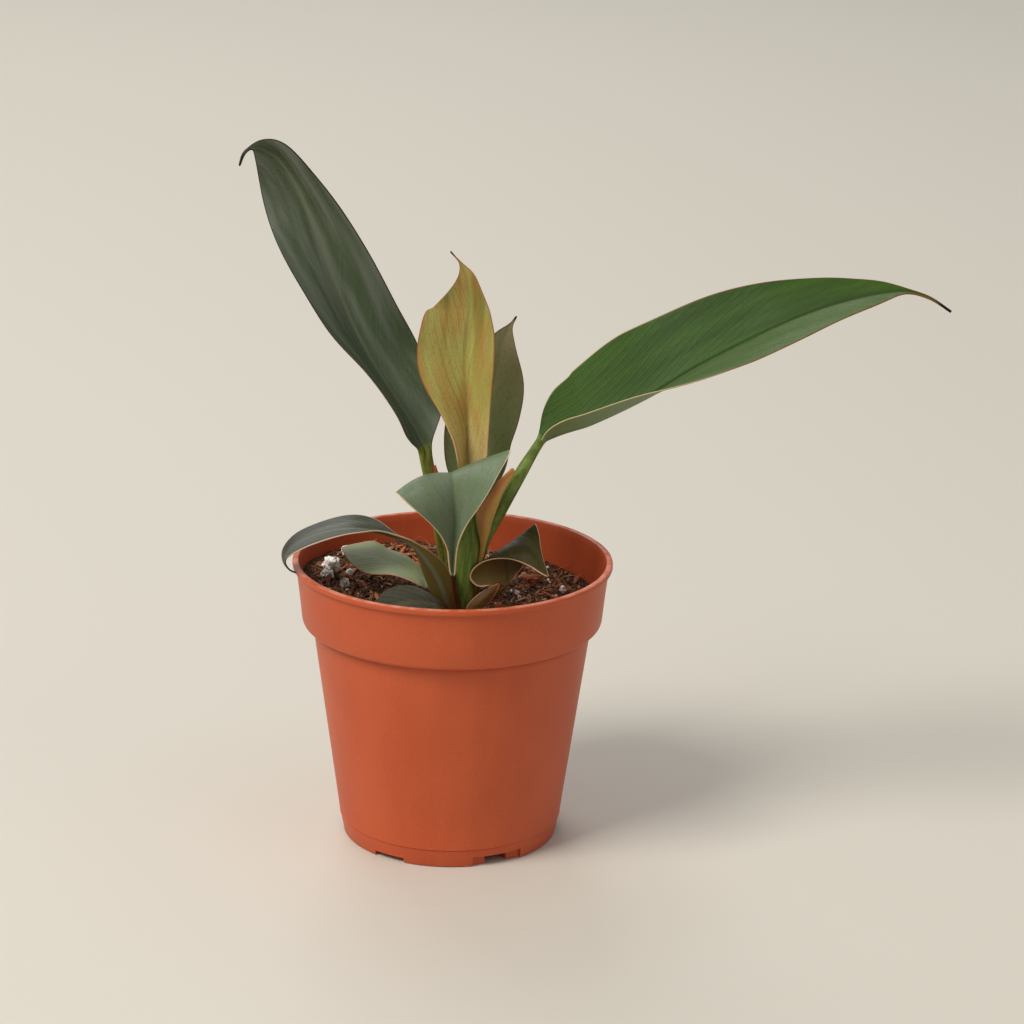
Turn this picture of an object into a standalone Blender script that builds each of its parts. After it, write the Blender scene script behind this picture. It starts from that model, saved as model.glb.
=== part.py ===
"""Potted philodendron: nine leaves on a short buried crown, in a plastic nursery pot.

Sizes are millimetres until a mesh is written, which turns them into metres.
The origin is on the pot's axis, on the plane that the pot stands on. +Z is up, -Y the front.
"""

import math
import random

import bmesh
import bpy
from mathutils import Matrix, Vector

MM = 0.001
GAP = 0.3  # kept between two pieces that touch

# Pot: a tapered body, a rounded shoulder, and a straight collar with a small lip
POT_HEIGHT = 97.0
RIM_RADIUS = 54.0
LIP_OUTSTAND = 1.3
LIP_HEIGHT = 2.0
LIP_ROUND = 0.5
COLLAR_HEIGHT = 20.2
COLLAR_TAPER = 2.0
SHOULDER_STEP = 3.5
SHOULDER_DROP = 2.2
BASE_RADIUS = 37.0
WALL = 0.9
SEAM_HEIGHT = 6.4
SEAM_STEP = 0.25

# Pot foot: a centre pad and a ring, with three doorways and three low vents in the ring
PAD_RADIUS = 11.0
FOOT_WIDTH = 4.4
FLOOR_RAISE = 3.9
FLOOR_THICKNESS = 1.4
DOORWAY_TURN = 27.5
DOORWAY_WIDTH = 18.0
DOORWAY_DEPTH = 2.2
CHANNEL_WIDTH = 8.0
CHANNEL_HEIGHT = 3.4
VENT_TURN = -32.5
VENT_WIDTH = 11.5
VENT_HEIGHT = 1.7
DRAIN_RADIUS = 3.5
DRAIN_INSET = 1.0

# Potting mix: its middle is a headspace below the rim, and it is banked up to the left
HEADSPACE = 13.0
BANK_LEFT = 6.0
FALL_RIGHT = 2.4
BANK_BACK = 1.4

# Crown: the buried foot of the plant that the leaf stalks rise from
CROWN_X = 3.0
CROWN_Y = -12.5
CROWN_HALF_WIDTH = 7.0
CROWN_HALF_DEPTH = 10.0
CROWN_DEPTH = 16.0
CROWN_PROUD = 0.2

# Leaves
BLADE_HALF_THICKNESS = 0.6

# Fineness
POT_STEPS = 48
SOIL_STEPS = 40
LEAF_RING = 8
STEPS_PER_STATION = 2

COLLAR_RADIUS = RIM_RADIUS - LIP_OUTSTAND
STEP_RADIUS = COLLAR_RADIUS - COLLAR_TAPER
BODY_TOP_RADIUS = STEP_RADIUS - SHOULDER_STEP
COLLAR_BOTTOM = POT_HEIGHT - COLLAR_HEIGHT
SHOULDER_BOTTOM = COLLAR_BOTTOM - SHOULDER_DROP
FLOOR_TOP = FLOOR_RAISE + FLOOR_THICKNESS
SOIL_LEVEL = POT_HEIGHT - HEADSPACE
LIP_BOTTOM = POT_HEIGHT - LIP_HEIGHT
COLLAR_SLOPE = COLLAR_TAPER / (LIP_BOTTOM - LIP_ROUND - COLLAR_BOTTOM)
SOIL_RADIUS = STEP_RADIUS + COLLAR_SLOPE * (SOIL_LEVEL - COLLAR_BOTTOM) - WALL - GAP


# ---------------------------------------------------------------- shared tools

def material(name, colour, roughness):
    """A plain finish in linear colour."""
    finish = bpy.data.materials.new(name)
    finish.use_nodes = True
    shader = finish.node_tree.nodes["Principled BSDF"]
    shader.inputs["Base Color"].default_value = (*colour, 1.0)
    shader.inputs["Roughness"].default_value = roughness
    return finish


def add_object(name, bm, finish=None):
    """Write a bmesh in millimetres as an object in metres."""
    bmesh.ops.recalc_face_normals(bm, faces=bm.faces)
    bmesh.ops.scale(bm, vec=(MM, MM, MM), verts=bm.verts)
    mesh = bpy.data.meshes.new(name)
    bm.to_mesh(mesh)
    bm.free()
    if finish:
        mesh.materials.append(finish)
        mesh.shade_smooth()
        mesh.set_sharp_from_angle(angle=math.radians(40))
    thing = bpy.data.objects.new(name, mesh)
    bpy.context.collection.objects.link(thing)
    return thing


def skin(rings):
    """Join closed rings, each with as many points, into one capped body."""
    bm = bmesh.new()
    rows = [[bm.verts.new(point) for point in ring] for ring in rings]
    count = len(rows[0])
    for lower, upper in zip(rows, rows[1:]):
        for i in range(count):
            j = (i + 1) % count
            bm.faces.new((lower[i], lower[j], upper[j], upper[i]))
    bm.faces.new(list(reversed(rows[0])))
    bm.faces.new(rows[-1])
    return bm


def cut(thing, name, bm):
    """Cut one hidden solid out of a piece."""
    cutter = add_object(name, bm)
    cutter.hide_render = True
    cutter.display_type = "WIRE"
    boolean = thing.modifiers.new(name, "BOOLEAN")
    boolean.operation = "DIFFERENCE"
    boolean.solver = "EXACT"
    boolean.object = cutter


def around(turn):
    """A turn about the pot's axis, in degrees from the front, positive to the right."""
    return Matrix.Rotation(math.radians(turn), 4, "Z")


# ---------------------------------------------------------------- pot

def shoulder(inset):
    """The rounded turn between body and collar, bottom to top."""
    points = []
    for i in range(6):
        angle = math.radians(90 * (1 - i / 5))
        r = BODY_TOP_RADIUS + SHOULDER_STEP * math.cos(angle) - inset
        z = COLLAR_BOTTOM - SHOULDER_DROP * math.sin(angle)
        points.append((r, z))
    return points


def body_radius(z):
    return BASE_RADIUS + (BODY_TOP_RADIUS - BASE_RADIUS) * z / SHOULDER_BOTTOM


def pot_profile():
    foot_inside = BASE_RADIUS - FOOT_WIDTH
    mouth = COLLAR_RADIUS - WALL
    foot = [(0, 0), (PAD_RADIUS, 0), (PAD_RADIUS, FLOOR_RAISE), (foot_inside, FLOOR_RAISE),
            (foot_inside, 0), (BASE_RADIUS - SEAM_STEP, 0)]
    seam = [(body_radius(SEAM_HEIGHT) - SEAM_STEP, SEAM_HEIGHT - SEAM_STEP),
            (body_radius(SEAM_HEIGHT), SEAM_HEIGHT)]
    lip = [(COLLAR_RADIUS, LIP_BOTTOM - LIP_ROUND), (RIM_RADIUS, LIP_BOTTOM),
           (RIM_RADIUS, POT_HEIGHT - LIP_ROUND), (RIM_RADIUS - LIP_ROUND, POT_HEIGHT),
           (mouth + LIP_ROUND, POT_HEIGHT), (mouth, POT_HEIGHT - LIP_ROUND)]
    floor = [(body_radius(FLOOR_TOP) - WALL, FLOOR_TOP), (0, FLOOR_TOP)]
    return foot + seam + shoulder(0) + lip + list(reversed(shoulder(WALL))) + floor


def block(width, depth, height, reach, turn):
    """A box whose outer face is `reach` from the axis, standing across the base plane."""
    place = around(turn) @ Matrix.Translation((0, -(reach - depth / 2), height / 2 - GAP))
    bm = bmesh.new()
    bmesh.ops.create_cube(bm, size=1.0)
    size = Matrix.Diagonal((width, depth, height + 2 * GAP, 1))
    bmesh.ops.transform(bm, matrix=place @ size, verts=bm.verts)
    return bm


def three(make, turn):
    """Three copies of a cutter, evenly round the pot."""
    whole = bmesh.new()
    for third in range(3):
        bm = make(turn + third * 120)
        mesh = bpy.data.meshes.new("copy")
        bm.to_mesh(mesh)
        bm.free()
        whole.from_mesh(mesh)
        bpy.data.meshes.remove(mesh)
    return whole


def drain(turn):
    centre = BASE_RADIUS - FOOT_WIDTH - DRAIN_INSET - DRAIN_RADIUS
    bm = bmesh.new()
    place = around(turn) @ Matrix.Translation((0, -centre, FLOOR_TOP))
    bmesh.ops.create_cone(bm, cap_ends=True, segments=16, radius1=DRAIN_RADIUS,
                          radius2=DRAIN_RADIUS, depth=4 * FLOOR_THICKNESS, matrix=place)
    return bm


def make_pot():
    bm = bmesh.new()
    points = [bm.verts.new((r, 0, z)) for r, z in pot_profile()]
    edges = [bm.edges.new(pair) for pair in zip(points, points[1:])]
    bmesh.ops.spin(bm, geom=points + edges, axis=(0, 0, 1), cent=(0, 0, 0),
                   angle=math.tau, steps=POT_STEPS, use_merge=True)
    bmesh.ops.remove_doubles(bm, verts=bm.verts, dist=1e-3)
    pot = add_object("pot", bm, material("pot_plastic", (0.48, 0.095, 0.035), 0.5))

    outside = BASE_RADIUS + 2
    through = FOOT_WIDTH + 4
    cut(pot, "doorway_cutter", three(
        lambda turn: block(DOORWAY_WIDTH, DOORWAY_DEPTH + 2, CHANNEL_HEIGHT, outside, turn),
        DOORWAY_TURN))
    cut(pot, "channel_cutter", three(
        lambda turn: block(CHANNEL_WIDTH, through, CHANNEL_HEIGHT, outside, turn), DOORWAY_TURN))
    cut(pot, "vent_cutter", three(
        lambda turn: block(VENT_WIDTH, through, VENT_HEIGHT, outside, turn), VENT_TURN))
    cut(pot, "doorway_drain_cutter", three(drain, DOORWAY_TURN))
    cut(pot, "vent_drain_cutter", three(drain, VENT_TURN))


# ---------------------------------------------------------------- potting mix and crown

def soil_height(x, y):
    """Height of the mix: banked to the left, lower at the right, a little higher behind."""
    u = x / SOIL_RADIUS
    v = y / SOIL_RADIUS
    slope = (BANK_LEFT + FALL_RIGHT) / 2
    bank = (BANK_LEFT - FALL_RIGHT) / 2
    crumbs = 0.5 * math.sin(0.31 * x + 0.7) * math.cos(0.27 * y)
    return SOIL_LEVEL - slope * u + bank * u * u + BANK_BACK * v + crumbs


def level_ring(radius, height):
    """A level ring of the mix, against the pot's inside."""
    ring = []
    for i in range(SOIL_STEPS):
        angle = math.tau * i / SOIL_STEPS
        ring.append((radius * math.cos(angle), radius * math.sin(angle), height))
    return ring


def surface_ring(share):
    """A ring of the mix's surface, following the collar's taper up and down."""
    ring = []
    for i in range(SOIL_STEPS):
        angle = math.tau * i / SOIL_STEPS
        x = share * math.cos(angle)
        y = share * math.sin(angle)
        z = soil_height(SOIL_RADIUS * x, SOIL_RADIUS * y)
        radius = SOIL_RADIUS + COLLAR_SLOPE * (z - SOIL_LEVEL)
        ring.append((radius * x, radius * y, z))
    return ring


def crown_body(clearance):
    """Oval rings, narrower at the bottom, grown by a clearance for its seat in the mix."""
    top = SOIL_LEVEL + CROWN_PROUD
    rings = []
    for share, drop in ((0.45, CROWN_DEPTH), (0.85, 0.8 * CROWN_DEPTH), (1.0, 0.35 * CROWN_DEPTH),
                        (0.95, 0.0)):
        z = top - drop
        if drop == CROWN_DEPTH:
            z -= clearance
        if drop == 0.0 and clearance:
            z += HEADSPACE
        ring = []
        for i in range(16):
            angle = math.tau * i / 16
            ring.append((CROWN_X + (CROWN_HALF_WIDTH * share + clearance) * math.cos(angle),
                         CROWN_Y + (CROWN_HALF_DEPTH * share + clearance) * math.sin(angle), z))
        rings.append(ring)
    return skin(rings)


def make_soil():
    inset = WALL + GAP
    rings = [level_ring(body_radius(FLOOR_TOP) - inset, FLOOR_TOP + GAP)]
    rings += [level_ring(r, z) for r, z in shoulder(inset)]
    rings += [surface_ring(share) for share in (1.0, 0.86, 0.68, 0.5, 0.32, 0.12)]
    soil = add_object("potting_mix", skin(rings), material("mix", (0.035, 0.018, 0.011), 0.95))
    cut(soil, "crown_seat_cutter", crown_body(GAP))
    add_object("crown", crown_body(0.0), material("crown_skin", (0.10, 0.075, 0.03), 0.7))


# ---------------------------------------------------------------- leaves

# A leaf is a list of stations along its midrib, from the crown to the tip. Each station is
# (x, y, height above the middle of the mix, half width, half thickness, turn, fold).
# The two halves of the blade rise by the fold; the turn, also in degrees, rolls both to the
# right about the midrib. `facing` is the way the upper side looks at the foot of the stalk.
T = BLADE_HALF_THICKNESS


def near_rim(turn, outward, above):
    """A point placed from the pot's lip: degrees from the front, then out and up from it."""
    place = around(turn) @ Vector((0, -(RIM_RADIUS + outward), 0))
    return (place.x, place.y, HEADSPACE + above)


LEAVES = {
    "leaf_left_tall": ((0, -0.95, 0.3), (0.020, 0.042, 0.024), [
        (-0.5, -9.0, 1.2, 2.1, 1.9, 0, 0),
        (-3.0, -8.5, 19, 2.2, 1.8, 0, 0),
        (-8.8, -8.5, 49, 2.1, 1.5, 0, 0),
        (-10.0, -8, 54.5, 3.5, 1.0, 20, 30),
        (-13.5, -7, 61, 11, 0.8, 44, 35),
        (-17.3, -6, 67, 13.5, T, 50, 35),
        (-26, -3, 79.5, 16.5, T, 52, 32),
        (-34, 0, 93.5, 16, T, 38, 30),
        (-41.5, 3, 111, 14.8, T, 19, 29),
        (-48, 6, 128, 13.8, T, -10, 26),
        (-53, 8, 139, 12.5, T, -30, 20),
        (-59, 9, 148, 8, T, -35, 16),
        (-66.5, 8.5, 152.2, 1.4, 0.5, -20, 10),
        (-70, 7.5, 150.5, 0.8, 0.5, 0, 0),
        (-71.3, 6, 146, 0.35, 0.3, 0, 0),
    ]),
    "leaf_right_long": ((-1, -0.1, 0), (0.030, 0.088, 0.026), [
        (6.5, -9.0, 1.2, 2.2, 2.0, 0, 0),
        (9.5, -10.5, 21, 2.2, 2.0, 0, 0),
        (15.5, -11.5, 34, 2.4, 1.9, 0, 0),
        (22, -12, 46.5, 2.2, 1.7, 0, 0),
        (28.5, -11, 57.5, 1.8, 1.4, 5, 20),
        (31.5, -11, 59.3, 8, 1.0, 8, 40),
        (37, -11, 61.5, 15, 0.8, 8, 43),
        (45, -11, 64.2, 19, T, 8, 42),
        (63, -10, 73.3, 23.5, T, 13, 38),
        (79, -9, 83.5, 22, T, 19, 28),
        (93, -8, 91.2, 20, T, 22, 24),
        (107, -8, 98.5, 16.5, T, 22, 19),
        (120, -8, 104, 12.3, T, 22, 14),
        (131.5, -9, 107.8, 8.2, T, 22, 9),
        (140, -10, 110, 4.6, T, 25, 5),
        (147, -11, 110.8, 1.8, 0.5, 15, 5),
        (154, -12.5, 109.5, 1.0, 0.4, 0, 0),
        (161, -14, 105, 0.35, 0.3, 0, 0),
    ]),
    "leaf_centre_new": ((0, -0.95, 0.3), (0.19, 0.15, 0.035), [
        (4.6, -15.8, 1.2, 2.2, 1.6, 0, 0),
        (4.6, -15, 13.0, 3.2, 1.7, 0, 0),
        (5.5, -14.2, 22.2, 3.5, 1.6, 0, 0),
        (5.0, -12.5, 32, 2.8, 1.4, 0, 10),
        (4.6, -8.5, 43.4, 5.5, 1.1, 10, 50),
        (4.5, -7.5, 50.4, 8.2, 0.8, 14, 54),
        (4.4, -7.5, 58.4, 9, T, 10, 50),
        (4.2, -7.5, 68, 10.8, T, -4, 40),
        (3.1, -7, 82.2, 15.5, T, -19, 31),
        (3.7, -6, 95, 15, T, -22, 30),
        (4.4, -5, 100.4, 12.3, T, -26, 30),
        (3.8, -3.5, 109.4, 4.8, T, -20, 28),
        (1.7, -2, 114.8, 1.3, 0.5, 0, 10),
        (-2.0, -2, 119.3, 0.35, 0.3, 0, 0),
    ]),
    "leaf_back": ((0, -0.95, 0.3), (0.045, 0.055, 0.022), [
        (4.5, -4.8, 1.2, 1.8, 1.5, 0, 0),
        (9.5, -4.2, 17.0, 1.9, 1.5, 0, 0),
        (9.8, -2.5, 24.2, 1.9, 1.4, 0, 0),
        (7.6, 0, 34.4, 4.5, 0.9, 0, 20),
        (7.2, 1.5, 44, 10.3, 0.7, 0, 22),
        (7.6, 2.5, 55.6, 12.2, T, 0, 21),
        (10.1, 3.5, 65.5, 12.6, T, 0, 20),
        (12.4, 5, 74, 11.3, T, 0, 20),
        (14.3, 6.5, 83.4, 7.0, T, 0, 20),
        (16.5, 8, 89.2, 3.0, T, 0, 15),
        (18.1, 8.5, 92.1, 1.2, 0.5, 0, 10),
        (20.1, 9.5, 95.0, 0.35, 0.3, 0, 0),
    ]),
    "leaf_front_broad": ((0, -0.95, 0.3), (0.055, 0.095, 0.058), [
        (3.7, -19.8, 1.2, 0.9, 0.8, 0, 0),
        (2.4, -21.6, 8.5, 1.0, 0.9, 0, 10),
        (0.4, -22.2, 16.2, 1.2, 0.9, 0, 20),
        (-0.2, -22.6, 22, 2.6, 0.8, -8, 50),
        (0.0, -23.6, 28, 5.7, 0.7, -16, 44),
        (0.2, -24.6, 34.5, 10.8, T, -18, 34),
        (0.0, -24.8, 40.5, 15.8, T, -18, 24),
        (-0.4, -23.8, 45.6, 19.0, T, -20, 12),
        (-0.6, -21, 49.0, 20.6, T, -21, 4),
        (-0.4, -18, 47.0, 13.5, T, -14, 2),
        (0.4, -16.4, 42.5, 5.5, T, 0, 2),
        (1.2, -16.0, 37.5, 0.4, 0.3, 0, 0),
    ]),
    "leaf_over_rim": ((0.2, 1, 0), (0.05, 0.055, 0.04), [
        (-0.8, -18.0, 1.6, 3.0, 1.2, 0, 0),
        (-2.6, -19.5, 9, 4.0, 1.3, 0, 5),
        (-6.4, -19.5, 16.5, 3.8, 1.2, -10, 10),
        (-13, -18, 23, 2.2, 0.9, -40, 20),
        (-20, -16, 25.6, 2.4, 0.8, -75, 30),
        (-27, -14.5, 26.8, 6.0, 0.7, -90, 22),
        (-35, -14.5, 27.3, 8.6, T, -90, 10),
        (*near_rim(-72, -7.5, 12.2), 9.4, T, -90, 4),
        (*near_rim(-73, -0.5, 9.2), 8.6, T, -90, 4),
        (*near_rim(-73.5, 3.3, 6), 6, T, -90, 4),
        (*near_rim(-73, 4.0, 3.0), 2.4, T, -90, 4),
        (*near_rim(-72, 2.6, 0.6), 1.0, 0.5, -90, 0),
        (*near_rim(-70, 0.9, 0.1), 0.4, 0.3, -90, 0),
    ]),
    "leaf_left_low": ((0.5, -0.5, 0.6), (0.06, 0.10, 0.055), [
        (-3.0, -13.2, 1.8, 1.4, 1.0, 0, 0),
        (-7.5, -13.2, 6.8, 1.6, 0.9, 0, 10),
        (-12, -12.2, 10.4, 6.0, 0.7, 20, 12),
        (-19.5, -10.3, 13.8, 10.8, T, 25, 8),
        (-27.5, -7.8, 15.8, 12.0, T, 25, 4),
        (-33, -5.6, 16.6, 9.4, T, 25, 2),
        (-36.8, -3.4, 16.8, 0.8, 0.4, 25, 0),
    ]),
    "leaf_front_low": ((0.4, -0.4, 0.8), (0.02, 0.024, 0.018), [
        (-1.5, -22.0, 2.2, 1.2, 0.9, 0, 0),
        (-6, -26, 5.5, 3.0, 0.8, 10, 10),
        (-12, -30.5, 7.6, 6.2, T, 20, 6),
        (-18.5, -34.5, 7.6, 6.0, T, 20, 2),
        (-23.5, -37.5, 6.4, 3, T, 20, 0),
        (-27, -39, 4.8, 0.4, 0.3, 20, 0),
    ]),
    "leaf_right_curled": ((0, 0.95, -0.3), (0.045, 0.055, 0.026), [
        (9.0, -13.0, 1.8, 1.3, 1.2, 0, 0),
        (14.5, -12, 6.8, 1.4, 1.2, 0, 0),
        (18.6, -10, 9.6, 2.0, 1.0, 25, -10),
        (18.0, -8.8, 11.6, 9.6, 0.7, 40, -22),
        (17.0, -7.4, 15.4, 12.8, T, 42, -12),
        (17.4, -6.8, 19.8, 12.8, T, 42, -4),
        (18.6, -8.4, 23.2, 12.2, T, 40, 0),
        (21.6, -11.8, 22.8, 10.6, T, 38, 0),
        (26.5, -14.5, 19.2, 6.6, T, 30, 2),
        (32, -16.5, 14.0, 0.5, 0.3, 20, 0),
    ]),
    "cataphyll_right": ((0, -1, 0), (0.30, 0.10, 0.055), [
        (9.8, -14.4, 22, 0.6, 0.4, 0, 0),
        (11.4, -15.3, 28, 2.8, 0.5, 0, -25),
        (13.2, -15.8, 34.5, 4.2, 0.5, 0, -30),
        (15.8, -15.8, 41, 3.2, 0.5, 0, -25),
        (18.2, -15.4, 46, 1.6, 0.4, 0, -15),
        (19.6, -15.0, 48.5, 0.35, 0.3, 0, 0),
    ]),
    "cataphyll_left": ((0, -1, 0), (0.22, 0.06, 0.035), [
        (1.2, -11.8, 2.2, 0.6, 0.4, 0, 0),
        (0.6, -11.8, 12, 1.6, 0.5, 0, -20),
        (-1.0, -11.6, 24, 1.8, 0.5, 0, -20),
        (-3.6, -11.2, 37, 1.6, 0.5, 0, -15),
        (-6.2, -11.0, 49, 0.35, 0.3, 0, 0),
    ]),
    "cataphyll_curled": ((0, -1, 0.3), (0.12, 0.055, 0.03), [
        (7.0, -19.5, 2.0, 1.2, 0.5, 0, -10),
        (9.8, -19.0, 4.2, 2.3, 0.5, 0, -20),
        (12.8, -17.6, 6.8, 2.0, 0.5, 0, -20),
        (15.8, -16.2, 9.6, 0.35, 0.3, 0, 0),
    ]),
}


def interpolate(stations):
    """A smooth run through the stations, two steps to each, by their distance apart."""
    places = [Vector(s[:3]) for s in stations]
    at = [0.0]
    for before, after in zip(places, places[1:]):
        at.append(at[-1] + (after - before).length)
    last = len(stations) - 1

    def slope(i, channel):
        before, after = max(i - 1, 0), min(i + 1, last)
        return (stations[after][channel] - stations[before][channel]) / (at[after] - at[before])

    rows = [stations[0]]
    for i in range(last):
        length = at[i + 1] - at[i]
        for step in range(1, STEPS_PER_STATION + 1):
            t = step / STEPS_PER_STATION
            row = []
            for channel in range(len(stations[0])):
                start, end = stations[i][channel], stations[i + 1][channel]
                row.append(start * (2 * t**3 - 3 * t**2 + 1) + end * (3 * t**2 - 2 * t**3)
                           + slope(i, channel) * length * (t**3 - 2 * t**2 + t)
                           + slope(i + 1, channel) * length * (t**3 - t**2))
            rows.append(row)
    return rows


def leaf_rings(facing, stations):
    rows = interpolate(stations)
    spine = [Vector((x, y, SOIL_LEVEL + height)) for x, y, height, *_ in rows]
    upper = Vector(facing)
    rings = []
    for i, (_, _, _, half_width, half_thickness, turn, fold) in enumerate(rows):
        along = (spine[min(i + 1, len(spine) - 1)] - spine[max(i - 1, 0)]).normalized()
        upper = (upper - along * upper.dot(along)).normalized()
        right = along.cross(upper)
        ring = []
        for k in range(LEAF_RING):
            angle = math.tau * k / LEAF_RING
            out, thick = math.cos(angle), math.sin(angle)
            side = 1 if out > 0 else -1
            rise = math.radians(fold - side * turn)
            if abs(out) < 0.01:
                rise = math.radians(-turn)
                side = 1
                out = 0.0
            outward = right * side * math.cos(rise) + upper * math.sin(rise)
            normal = upper * math.cos(rise) - right * side * math.sin(rise)
            ring.append(spine[i] + outward * abs(out) * half_width
                        + normal * thick * half_thickness)
        rings.append(ring)
    return rings


def make_leaves():
    for name, (facing, colour, stations) in LEAVES.items():
        finish = material(name + "_skin", colour, 0.45)
        add_object(name, skin(leaf_rings(facing, stations)), finish)


# ---------------------------------------------------------------- perlite and bark

def lump(name, turn, from_wall, size, finish, seed):
    """An irregular grain on the mix, placed by its distance from the collar's wall."""
    rng = random.Random(seed)
    place = around(turn) @ Vector((0, -(SOIL_RADIUS - from_wall), 0))
    wide, deep, high = (s / 2 for s in size)
    rest = max(soil_height(place.x + wide * dx, place.y + deep * dy)
               for dx in (-1, 0, 1) for dy in (-1, 0, 1))
    bm = bmesh.new()
    bmesh.ops.create_icosphere(bm, subdivisions=2, radius=1.0)
    for vert in bm.verts:
        vert.co *= rng.uniform(0.86, 1.0)
        vert.co.x *= wide
        vert.co.y *= deep
        vert.co.z *= high
        vert.co += Vector((place.x, place.y, rest + GAP + high))
    add_object(name, bm, finish)


def make_grains():
    white = material("perlite_white", (0.72, 0.68, 0.60), 0.9)
    brown = material("bark_brown", (0.28, 0.10, 0.04), 0.85)
    lump("perlite_a", -98, 8.5, (6.0, 6.0, 5.0), white, 1)
    lump("perlite_b", -89, 8.0, (4.5, 4.5, 4.0), white, 2)
    lump("perlite_c", -122, 6.5, (4.0, 3.6, 3.0), white, 3)
    lump("perlite_d", -95, 15.0, (3.0, 3.0, 2.6), white, 4)
    lump("perlite_e", 102, 12.0, (2.6, 2.6, 2.2), white, 5)
    lump("perlite_f", 95, 28.5, (2.2, 2.2, 2.0), white, 6)
    lump("bark_chip_a", 121, 19.0, (6.5, 5.0, 3.2), brown, 7)
    lump("bark_chip_b", 54, 31.0, (3.4, 2.6, 1.8), brown, 8)


def main():
    for thing in list(bpy.data.objects):
        bpy.data.objects.remove(thing, do_unlink=True)
    make_pot()
    make_soil()
    make_leaves()
    make_grains()


main()
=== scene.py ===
"""A young philodendron in a round plastic nursery pot, in metres, standing on z = 0."""

import math
import random

import bmesh
import bpy
import numpy as np
from mathutils import Matrix, Vector, noise


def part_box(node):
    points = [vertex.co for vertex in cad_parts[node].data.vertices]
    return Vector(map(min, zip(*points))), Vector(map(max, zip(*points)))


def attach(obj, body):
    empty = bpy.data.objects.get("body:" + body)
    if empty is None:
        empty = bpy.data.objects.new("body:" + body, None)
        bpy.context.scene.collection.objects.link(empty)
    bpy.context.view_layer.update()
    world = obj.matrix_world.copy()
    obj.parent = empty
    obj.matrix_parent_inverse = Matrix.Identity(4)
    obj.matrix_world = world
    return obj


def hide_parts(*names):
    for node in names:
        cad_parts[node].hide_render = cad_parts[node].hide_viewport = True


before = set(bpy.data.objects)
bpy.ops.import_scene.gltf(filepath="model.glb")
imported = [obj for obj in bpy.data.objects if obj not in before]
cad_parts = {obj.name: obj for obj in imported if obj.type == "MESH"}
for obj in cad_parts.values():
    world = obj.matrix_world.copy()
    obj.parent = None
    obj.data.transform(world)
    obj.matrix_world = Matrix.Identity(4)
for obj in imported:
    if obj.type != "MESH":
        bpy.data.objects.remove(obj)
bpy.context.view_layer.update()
bpy.ops.object.select_all(action="DESELECT")

# ---------------------------------------------------------------- table, light and camera
# The plant stands on a plain pale table top. A large soft light stands high at the left
# and in front, weaker ones at the right and behind, and the room around is pale.
MM = 0.001


def paint(red, green, blue):
    """A screen colour, 0 to 255, as the linear colour that a shader takes."""
    linear = [((c / 255 + 0.055) / 1.055) ** 2.4 if c > 10 else c / 3300 for c in (red, green, blue)]
    return (*linear, 1.0)


bpy.ops.mesh.primitive_plane_add(size=8.0, location=(0, 0, -0.0002))
table = bpy.context.object
table.name = "table_top"
bpy.ops.object.transform_apply(location=True)
table_finish = bpy.data.materials.new("table_top")
table_finish.use_nodes = True
table_shader = table_finish.node_tree.nodes["Principled BSDF"]
table_shader.inputs["Base Color"].default_value = paint(214, 207, 192)
table_shader.inputs["Roughness"].default_value = 0.6
table.data.materials.append(table_finish)


def soft_light(name, place, aim, size, power, tint):
    """A square soft box that looks at a point."""
    bpy.ops.object.light_add(type="AREA", location=place)
    light = bpy.context.object
    light.name = name
    light.rotation_euler = (Vector(place) - Vector(aim)).to_track_quat("Z", "Y").to_euler()
    light.data.size = size
    light.data.energy = power
    light.data.color = tint


soft_light("key_light", (-1.9, -1.5, 2.8), (0, 0, 0.10), 1.5, 100.0, (1.0, 0.98, 0.95))
soft_light("fill_light", (2.2, -1.2, 1.9), (0, 0, 0.10), 1.8, 5.0, (0.96, 0.98, 1.0))
soft_light("back_light", (-0.7, 2.0, 1.9), (0, 0, 0.16), 1.6, 18.0, (1.0, 1.0, 1.0))

world = bpy.data.worlds.new("pale_room")
world.use_nodes = True
room = world.node_tree.nodes["Background"]
room.inputs["Color"].default_value = (0.90, 0.92, 0.95, 1.0)
room.inputs["Strength"].default_value = 0.42
bpy.context.scene.world = world
bpy.context.scene.view_settings.view_transform = "Standard"

bpy.ops.object.camera_add(location=(0.01966, -1.02429, 0.43740))
camera = bpy.context.object
camera.name = "camera"
tilt = Matrix.Rotation(math.radians(90 - 17.538), 4, "X")
roll = Matrix.Rotation(math.radians(1.03), 4, "Z")
camera.rotation_euler = (tilt @ roll).to_euler()
camera.data.lens = 112.5
camera.data.sensor_width = 36.0
bpy.context.scene.camera = camera


# ---------------------------------------------------------------- pot
# A thin moulded pot of satin terracotta-coloured plastic: tapered body, rounded shoulder,
# straight collar, small lip. Under it are a pad, a foot ring with doorways, and drain holes.
# It is turned ring by ring from a disc, and the openings of the foot are then cut out.
RIM_RADIUS, POT_HEIGHT = (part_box("pot")[1][i] / MM for i in (0, 2))
BASE_RADIUS, WALL = 37.0, 0.9
COLLAR_FOOT, COLLAR_FOOT_RADIUS = 76.8, 50.7
COLLAR_MIDDLE, COLLAR_MIDDLE_RADIUS = 85.8, 51.7
COLLAR_TOP, COLLAR_TOP_RADIUS = 94.2, 52.7
BODY_TOP, BODY_TOP_RADIUS, UNDERCUT = 74.6, 47.2, 0.4
PAD_RADIUS, FOOT_INSIDE, FLOOR_UNDER, FLOOR_TOP = 11.0, 32.6, 3.9, 5.3
SEAM_HEIGHT, SEAM_STEP = 6.4, 0.25
DOORWAY_TURN, DOORWAY_WIDTH, CHANNEL_WIDTH, DOORWAY_HEIGHT = 27.5, 18.0, 8.0, 3.4
VENT_TURN, VENT_WIDTH, VENT_HEIGHT = -32.5, 11.5, 1.7
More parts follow.
